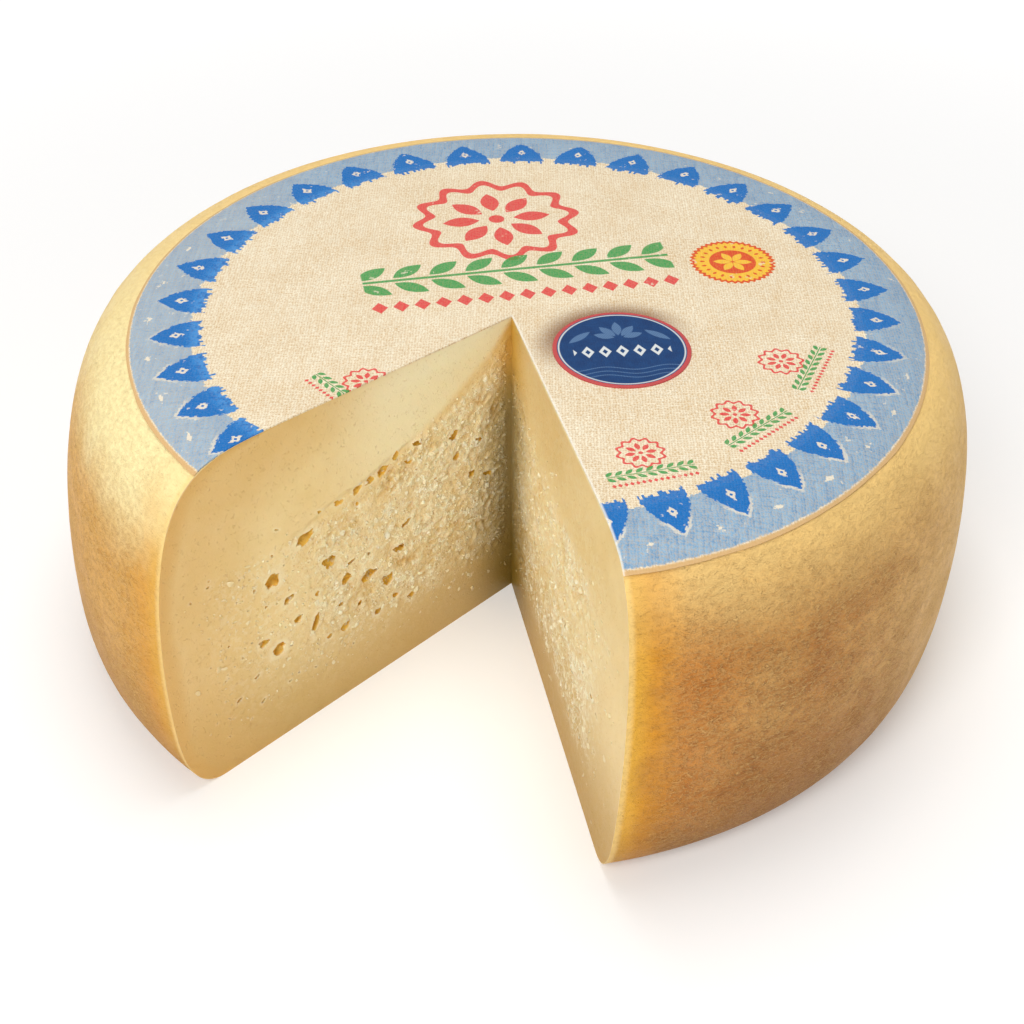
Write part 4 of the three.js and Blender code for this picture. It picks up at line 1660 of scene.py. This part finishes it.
def add_seal(bench, place, colour, took):
    """The round seal: a yellow disc, a red rim, a red heart and a yellow star of petals in it."""
    seal = bench.laid(place, centre=(SEAL["right"], SEAL["away"], 0))
    x, y, _ = bench.parts(seal)
    turn = bench.math("ARCTAN2", y, x)
    notched = bench.length(seal) + SEAL["notch"] * bench.math("SINE", turn * SEAL["notches"])
    disc = bench.inside(SEAL["radius"] - notched, INK_SOFTNESS)
    colour = bench.colour(disc * (0.7 + 0.3 * took), colour, SEAL_YELLOW)
    rim = disc * bench.inside(notched - SEAL["radius"] + SEAL["rim"], INK_SOFTNESS)
    dots = bench.use(PRINT_PETALS, {"Place": seal, **SEAL_DOTS})
    heart = bench.use(PRINT_RING, {"Place": seal, **SEAL_HEART})
    star = bench.use(PRINT_PETALS, {"Place": seal, **SEAL_STAR})
    red = bench.most(rim, dots, heart * (1 - star))
    return bench.colour(red * (0.6 + 0.4 * took), colour, SEAL_RED)


def add_painted_badge_shadow(bench, colour):
    """The painted brown shadow on the cloth around the badge, strongest behind it."""
    place = print_place(bench, BADGE_MIDDLE)
    x, y, _ = bench.parts(place)
    behind = bench.between(y - 0.5 * x, -12, 24)
    painted_shadow = bench.fading(bench.length(place), BADGE_RADIUS - 1, BADGE_RADIUS + BADGE_SHADOW_WIDTH)
    return bench.colour((painted_shadow * (0.12 + 0.88 * behind)) ** 1.4 * 0.85, colour, BADGE_SHADOW_BROWN)


def dress_label(bench, shader):
    """The label: cloth, then each ink over the last, then wear, the tan margin, a painted shadow around the
    badge and a pale line along the right cut.
    """
    place = print_place(bench, LABEL_MIDDLE)
    weave = {"Place": place, "Pitch": CLOTH_PITCH}
    height, gap, thread = bench.use(PLAIN_WEAVE, weave, ("Height", "Gap", "Thread"))
    stain = bench.use(UNEVEN_TONE, {"Place": place, "Size": STAIN_SIZE})
    speck = bench.between(bench.noise(place, size=SPECK_SIZE, detail=2, roughness=0.6), 0.36, 0.64)
    dim = gap * 0.42 + (1 - thread) * 0.26 + speck * 0.30 + stain * 0.12
    cloth = bench.colour(dim, CLOTH_LIGHT, CLOTH_DARK)
    took = 1 - gap * 0.35 - speck * 0.35
    wear = bench.noise(place, size=WEAR_SIZE, detail=3, roughness=0.65) + 0.2
    names = ("Band", "Pennant", "Faded", "Bare")
    band, pennant, faded, bare = bench.use(PRINT_BORDER, {"Place": place, "Wear": wear}, names)
    band_ink = bench.colour(thread, BAND_BLUE, BAND_DEEP)
    rubbed = bench.between(bench.parts(place)[0], -80, -120)
    colour = bench.colour(band * (0.3 + 0.66 * took) * (1 - 0.12 * rubbed), cloth, band_ink)
    pennant_ink = bench.colour(faded * 0.75, PENNANT_BLUE, FADED_BLUE)
    colour = bench.colour(pennant * (0.84 + 0.16 * took), colour, pennant_ink)
    emblem = {"Place": nearest_emblem(bench, place)}
    red, green = bench.use(PRINT_EMBLEM, emblem, ("Red", "Green"))
    colour = bench.colour(red * (0.60 + 0.36 * took), colour, INK_RED)
    colour = bench.colour(green * (0.60 + 0.36 * took), colour, INK_GREEN)
    colour = add_seal(bench, place, colour, took)
    colour = bench.colour(bare * 0.85, colour, CLOTH_WORN)
    margin = bench.between(bench.length(place), BORDER_OUTER, BORDER_OUTER + MARGIN_SOFTNESS)
    colour = bench.colour(margin * 0.9, colour, MARGIN_TAN)
    # painted shadow of the badge on the cloth, strongest behind it
    colour = add_painted_badge_shadow(bench, colour)
    cut_line = bench.fading(from_knife(bench), 0.1, 1.0)
    colour = bench.colour(cut_line * 0.7, colour, CLOTH_CUT)
    matt = {"Sheen Weight": 0.05, "Specular IOR Level": 0.25}
    wire_up(bench, shader, colour, 0.70 + 0.14 * gap, matt)
    raise_bump(bench, shader, (height + speck * 0.25) * (1 - 0.7 * margin), distance=0.00028, strength=0.8)


label_look, label_bench, label_shader = new_material("printed_cloth")
dress_label(label_bench, label_shader)
label.data.materials.append(label_look)
print("label nodes:", len(label_look.node_tree.nodes))

# %% [markdown]
# ## The badge
# A smooth coated paper disc, stuck on after the cloth was pressed. It could be cut from the label's mesh,
# but it has its own edge and shine. It is turned from a short profile: a flat foot, a rounded edge and a
# face that sinks by a hair towards its middle, where it is pressed into the cloth.

# %% Badge mesh
BADGE_FOOT = WHEEL_HEIGHT + LABEL_LIFT + LABEL_THICKNESS - 0.12
BADGE_HEIGHT = 0.55
BADGE_EDGE = 0.22
BADGE_DISH = 0.04
BADGE_SEGMENTS = 128
FACE_RINGS = (0.25, 0.5, 0.75, 0.93)
EDGE_STEPS = 4


def badge_profile():
    """Radius and height from the middle of the face, over the rounded edge, to the foot."""
    face = [(BADGE_RADIUS * share, BADGE_HEIGHT - BADGE_DISH * (1 - share**4)) for share in FACE_RINGS]
    edge = []
    for step in range(EDGE_STEPS + 1):
        turn = math.pi / 2 * step / EDGE_STEPS
        inward = BADGE_RADIUS - BADGE_EDGE * (1 - math.sin(turn))
        edge.append((inward, BADGE_HEIGHT - BADGE_EDGE * (1 - math.cos(turn))))
    return face + edge + [(BADGE_RADIUS, 0)]


def badge_mesh(name):
    profile = badge_profile()
    turns = np.linspace(0, 2 * math.pi, BADGE_SEGMENTS, endpoint=False)
    points = [(*BADGE_MIDDLE, BADGE_FOOT + BADGE_HEIGHT - BADGE_DISH)]
    for radius, height in profile:
        for turn in turns:
            x, y = BADGE_MIDDLE + radius * np.array([math.cos(turn), math.sin(turn)])
            points.append((x, y, BADGE_FOOT + height))
    faces = []
    for segment in range(BADGE_SEGMENTS):
        after = (segment + 1) % BADGE_SEGMENTS
        faces.append([0, 1 + segment, 1 + after])
        for ring in range(len(profile) - 1):
            inner, outer = 1 + ring * BADGE_SEGMENTS, 1 + (ring + 1) * BADGE_SEGMENTS
            faces.append([inner + segment, outer + segment, outer + after, inner + after])
    last = 1 + (len(profile) - 1) * BADGE_SEGMENTS
    faces.append([last + segment for segment in reversed(range(BADGE_SEGMENTS))])
    mesh = new_mesh(name, points, faces)
    shade_smooth(mesh)
    return mesh


badge = placed("navy_badge", badge_mesh("navy_badge"))
print("badge faces:", len(badge.data.polygons))

# %% Badge material
BADGE_NAVY = paint(8, 50, 100)
BADGE_SEA = paint(20, 76, 132)
BADGE_CRIMSON = paint(192, 76, 76)
BADGE_WHITE = paint(224, 228, 226)
BADGE_PALE = paint(98, 132, 172)
BADGE_TURN = math.radians(6)
BADGE_CLOUDS = 5.0
BADGE_WEAVE = 0.9
SPRIG_GAP = 0.8
SPRIG_WIDTH = 3.4
SPRIG_UP = 7.0
SPRIG = [
    dict(lean=90, length=9.0),
    dict(lean=128, length=8.2),
    dict(lean=52, length=8.2),
    dict(lean=162, length=7.6),
    dict(lean=18, length=7.6),
]
SIDE_LEAF = dict(aside=14.2, up=8.4, lean=math.radians(-40))
SIDE_LEAF_SIZE = {"Length": 11.0, "Width": 3.0}
WAVES = dict(below=12.5, height=1.1, offsets=(0.0, 2.6, 5.0), half_line=0.26)
LOZENGE_ROW = dict(below=1.5, pitch=6.2, half_width=2.3, hollow=1.0, flatter=0.62, reach=17.5)
BADGE_LINE = {"Radius": 22.6, "Line": 0.55}
BADGE_RIM_FROM = 23.25


def sprig(bench, place):
    """Five leaves on one foot, and a leaf at each side."""
    pale = 0.0
    for leaf in SPRIG:
        turned = bench.laid(place, centre=(0, SPRIG_UP, 0), turn=math.radians(leaf["lean"]))
        shifted = bench.laid(turned, centre=(leaf["length"] * 0.62 + SPRIG_GAP, 0, 0))
        one = bench.use(PRINT_LEAF, {"Place": shifted, "Length": leaf["length"], "Width": SPRIG_WIDTH})
        pale = bench.most(pale, one)
    x, y, _ = bench.parts(place)
    beside = bench.place(abs(x) - SIDE_LEAF["aside"], y - SIDE_LEAF["up"])
    beside = bench.laid(beside, turn=SIDE_LEAF["lean"])
    return bench.most(pale, bench.use(PRINT_LEAF, {"Place": beside, **SIDE_LEAF_SIZE}))


def dress_badge(bench, shader):
    """The badge: navy paper, pale leaves and waves, white lozenges and line, and the crimson rim."""
    place = bench.laid(print_place(bench, BADGE_MIDDLE), turn=BADGE_TURN)
    x, y, _ = bench.parts(place)
    tone = bench.use(UNEVEN_TONE, {"Place": place, "Size": BADGE_CLOUDS})
    woven = bench.use(PLAIN_WEAVE, {"Place": place, "Pitch": BADGE_WEAVE}, "Height")
    navy = bench.colour(tone * 0.3 + woven * 0.4, BADGE_NAVY, BADGE_SEA)
    pale = sprig(bench, place)
    wave = y + WAVES["below"] + WAVES["height"] * bench.math("SINE", x * 0.28 + 0.6)
    for offset in WAVES["offsets"]:
        line = bench.inside(WAVES["half_line"] - abs(wave + offset), 0.15)
        pale = bench.most(pale, line * 0.8)
    hatch = bench.math("SINE", (x + y * 0.6) * 7.5) * 0.5 + 0.5
    colour = bench.colour(pale * (0.45 + 0.45 * hatch), navy, BADGE_PALE)
    row = LOZENGE_ROW
    off_middle = abs(bench.folded(x / row["pitch"], row["pitch"]))
    off_middle = off_middle + abs(y + row["below"]) * row["flatter"]
    lozenges = bench.inside(row["half_width"] - off_middle, 0.18) * bench.inside(row["reach"] - abs(x), 0.2)
    hollow = bench.inside(row["hollow"] - off_middle, 0.18)
    colour = bench.colour(lozenges * (1 - hollow) * 0.92, colour, BADGE_WHITE)
    line = bench.use(PRINT_RING, {"Place": place, **BADGE_LINE})
    colour = bench.colour(line * 0.85, colour, BADGE_WHITE)
    rim = bench.inside(bench.length(place) - BADGE_RIM_FROM, 0.12)
    colour = bench.colour(rim, colour, BADGE_CRIMSON)
    wire_up(bench, shader, colour, 0.42 + 0.12 * tone, {"Specular IOR Level": 0.3})
    raise_bump(bench, shader, tone * 0.5 + woven, distance=0.00012, strength=0.5)


badge_look, badge_bench, badge_shader = new_material("coated_paper")
dress_badge(badge_bench, badge_shader)
badge.data.materials.append(badge_look)
print("badge nodes:", len(badge_look.node_tree.nodes))

# %% [markdown]
# ## Crumbs and chips
# Where the knife tore the paste, loose grains and flat chips stick to the cut. They repeat by the thousand
# and follow a surface, which is what Geometry Nodes are for: points are scattered where the stored
# "crumbly" number is high, each gets a small ball that is flattened and turned at random, and after they
# are made real a noise pulls every one out of shape. One tree makes both kinds: round crumbs that lie any
# way, and larger chips that lie flat. The points carry the cheese's stored numbers along, so the paste's
# own material fits them, only paler. Loose balls by hand would all look alike.

# %% Crumb material
crumb_look, crumb_bench, crumb_shader = new_material("loose_crumb")
dress_paste(crumb_bench, crumb_shader, CUT_DEEP, paler=CRUMB_PALER)
print("crumb nodes:", len(crumb_look.node_tree.nodes))


# %% Crumb tree
CRUMB_SOCKETS = {"Cheese": "NodeSocketObject", "Material": "NodeSocketMaterial", "Seed": "NodeSocketInt"}
CRUMB_NUMBERS = ["Density", "Gap", "Smallest", "Largest", "Tilt", "Flatness", "Pull"]
CRUMB_SOCKETS.update({name: "NodeSocketFloat" for name in CRUMB_NUMBERS})
SMALL_CRUMBS_FAVOURED = 2.2
TORN_FAVOURED = 1.2
CLUMP_SIZE = 0.009
PULL_SIZE = 0.0008


def random_vector(bench, low, high, seed):
    inputs = {0: low, 1: high, "Seed": seed}
    return bench.out(bench.node("FunctionNodeRandomValue", inputs, data_type="FLOAT_VECTOR"))


def crumb_tree():
    tree = bpy.data.node_groups.new("paste_crumbs", "GeometryNodeTree")
    tree.is_modifier = True
    for socket_name, kind in CRUMB_SOCKETS.items():
        tree.interface.new_socket(socket_name, in_out="INPUT", socket_type=kind)
    tree.interface.new_socket("Geometry", in_out="OUTPUT", socket_type="NodeSocketGeometry")
    bench = Bench(tree)
    entry = bench.node("NodeGroupInput")
    given = {socket_name: bench.out(entry, socket_name) for socket_name in CRUMB_SOCKETS}
    cheese_info = bench.node("GeometryNodeObjectInfo", {"Object": given["Cheese"]})
    crumbly = bench.node("GeometryNodeInputNamedAttribute", {"Name": "crumbly"}, data_type="FLOAT")
    position = bench.out(bench.node("GeometryNodeInputPosition"))
    clumps = bench.noise(position, size=CLUMP_SIZE, detail=3, roughness=0.6)
    wanted = bench.out(crumbly, "Attribute") ** TORN_FAVOURED * bench.between(clumps, 0.34, 0.60)
    inputs = {
        "Mesh": bench.out(cheese_info, "Geometry"),
        "Distance Min": given["Gap"],
        "Density Max": given["Density"],
        "Density Factor": wanted,
        "Seed": given["Seed"],
    }
    scatter = bench.node("GeometryNodeDistributePointsOnFaces", inputs, distribute_method="POISSON")
    ball = bench.node("GeometryNodeMeshIcoSphere", {"Radius": 1.0, "Subdivisions": 1})
    tip = bench.place(given["Tilt"], given["Tilt"], math.pi)
    untip = bench.vector("MULTIPLY", tip, (-1, -1, -1))
    turn = random_vector(bench, untip, tip, given["Seed"])
    inputs = {"Rotation": bench.out(scatter, "Rotation"), "Rotate By": turn}
    lying = bench.node("FunctionNodeRotateRotation", inputs, rotation_space="LOCAL")
    share = bench.node("FunctionNodeRandomValue", {2: 0.0, 3: 1.0, "Seed": given["Seed"]}, data_type="FLOAT")
    share = bench.out(share, 1) ** SMALL_CRUMBS_FAVOURED
    radius = given["Smallest"] + (given["Largest"] - given["Smallest"]) * share
    smaller = bench.place(0.5, 0.6, given["Flatness"] * 0.6)
    larger = bench.place(1.5, 1.1, given["Flatness"] * 1.2)
    inputs = {
        "Points": bench.out(scatter, "Points"),
        "Instance": bench.out(ball, "Mesh"),
        "Rotation": bench.out(lying),
        "Scale": bench.scaled(random_vector(bench, smaller, larger, 8), radius),
    }
    put = bench.node("GeometryNodeInstanceOnPoints", inputs)
    real = bench.node("GeometryNodeRealizeInstances", {0: bench.out(put, "Instances")})
    here = bench.out(bench.node("GeometryNodeInputPosition"))
    pull = bench.node("ShaderNodeTexNoise", {"Vector": here, "Scale": 1 / PULL_SIZE, "Detail": 1.0})
    centred = bench.vector("SUBTRACT", bench.out(pull, "Color"), (0.5, 0.5, 0.5))
    offset = bench.vector("MULTIPLY", centred, bench.place(given["Pull"], given["Pull"], given["Pull"]))
    shaped = bench.node("GeometryNodeSetPosition", {0: bench.out(real), "Offset": offset})
    finish = bench.node("GeometryNodeSetMaterial", {0: bench.out(shaped), "Material": given["Material"]})
    return bench.give(bench.node("NodeGroupOutput"), {"Geometry": bench.out(finish)})


def grown(name, tree, settings):
    """Runs a geometry tree on an empty mesh and keeps the result as a plain object."""
    start = placed(name + "_start", bpy.data.meshes.new(name + "_start"))
    modifier = start.modifiers.new("tree", "NODES")
    modifier.node_group = tree
    for item in tree.interface.items_tree:
        if item.in_out == "INPUT":
            modifier[item.identifier] = settings[item.name]
    made = placed(name, finished_mesh(start, name))
    bpy.data.objects.remove(start)
    print(name, "triangles:", len(made.data.polygons))
    return made


CRUMB_KINDS = {
    "paste_crumbs": {
        "Density": 330000.0, "Gap": 0.0007, "Smallest": 0.00014, "Largest": 0.00060,
        "Tilt": 3.1, "Flatness": 0.7, "Pull": 0.0007, "Seed": 4,
    },
    "paste_chips": {
        "Density": 260000.0, "Gap": 0.0011, "Smallest": 0.00035, "Largest": 0.00140,
        "Tilt": 0.40, "Flatness": 0.30, "Pull": 0.0013, "Seed": 21,
    },
}
crumb_maker = crumb_tree()
shared = {"Cheese": cheese, "Material": crumb_look}
crumb_pieces = [grown(kind, crumb_maker, {**shared, **numbers}) for kind, numbers in CRUMB_KINDS.items()]

# %% [markdown]
# ## Riding on the frame
# Every piece moves with the wheel's one body. The detailed wheel, label and badge stand for the packed
# ones, which stay in the model for collision.

# %% Ride, replace, measure
RIDES = [
    (cheese, "cheese_wheel", "cheese"),
    (label, "top_label", "label"),
    (badge, "round_badge", "badge"),
    *((piece, None, "cheese") for piece in crumb_pieces),
]
for piece, node, slot in RIDES:
    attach(piece, "root")
    if node:
        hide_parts(node)
    print(piece.name, "faces:", len(piece.data.polygons))
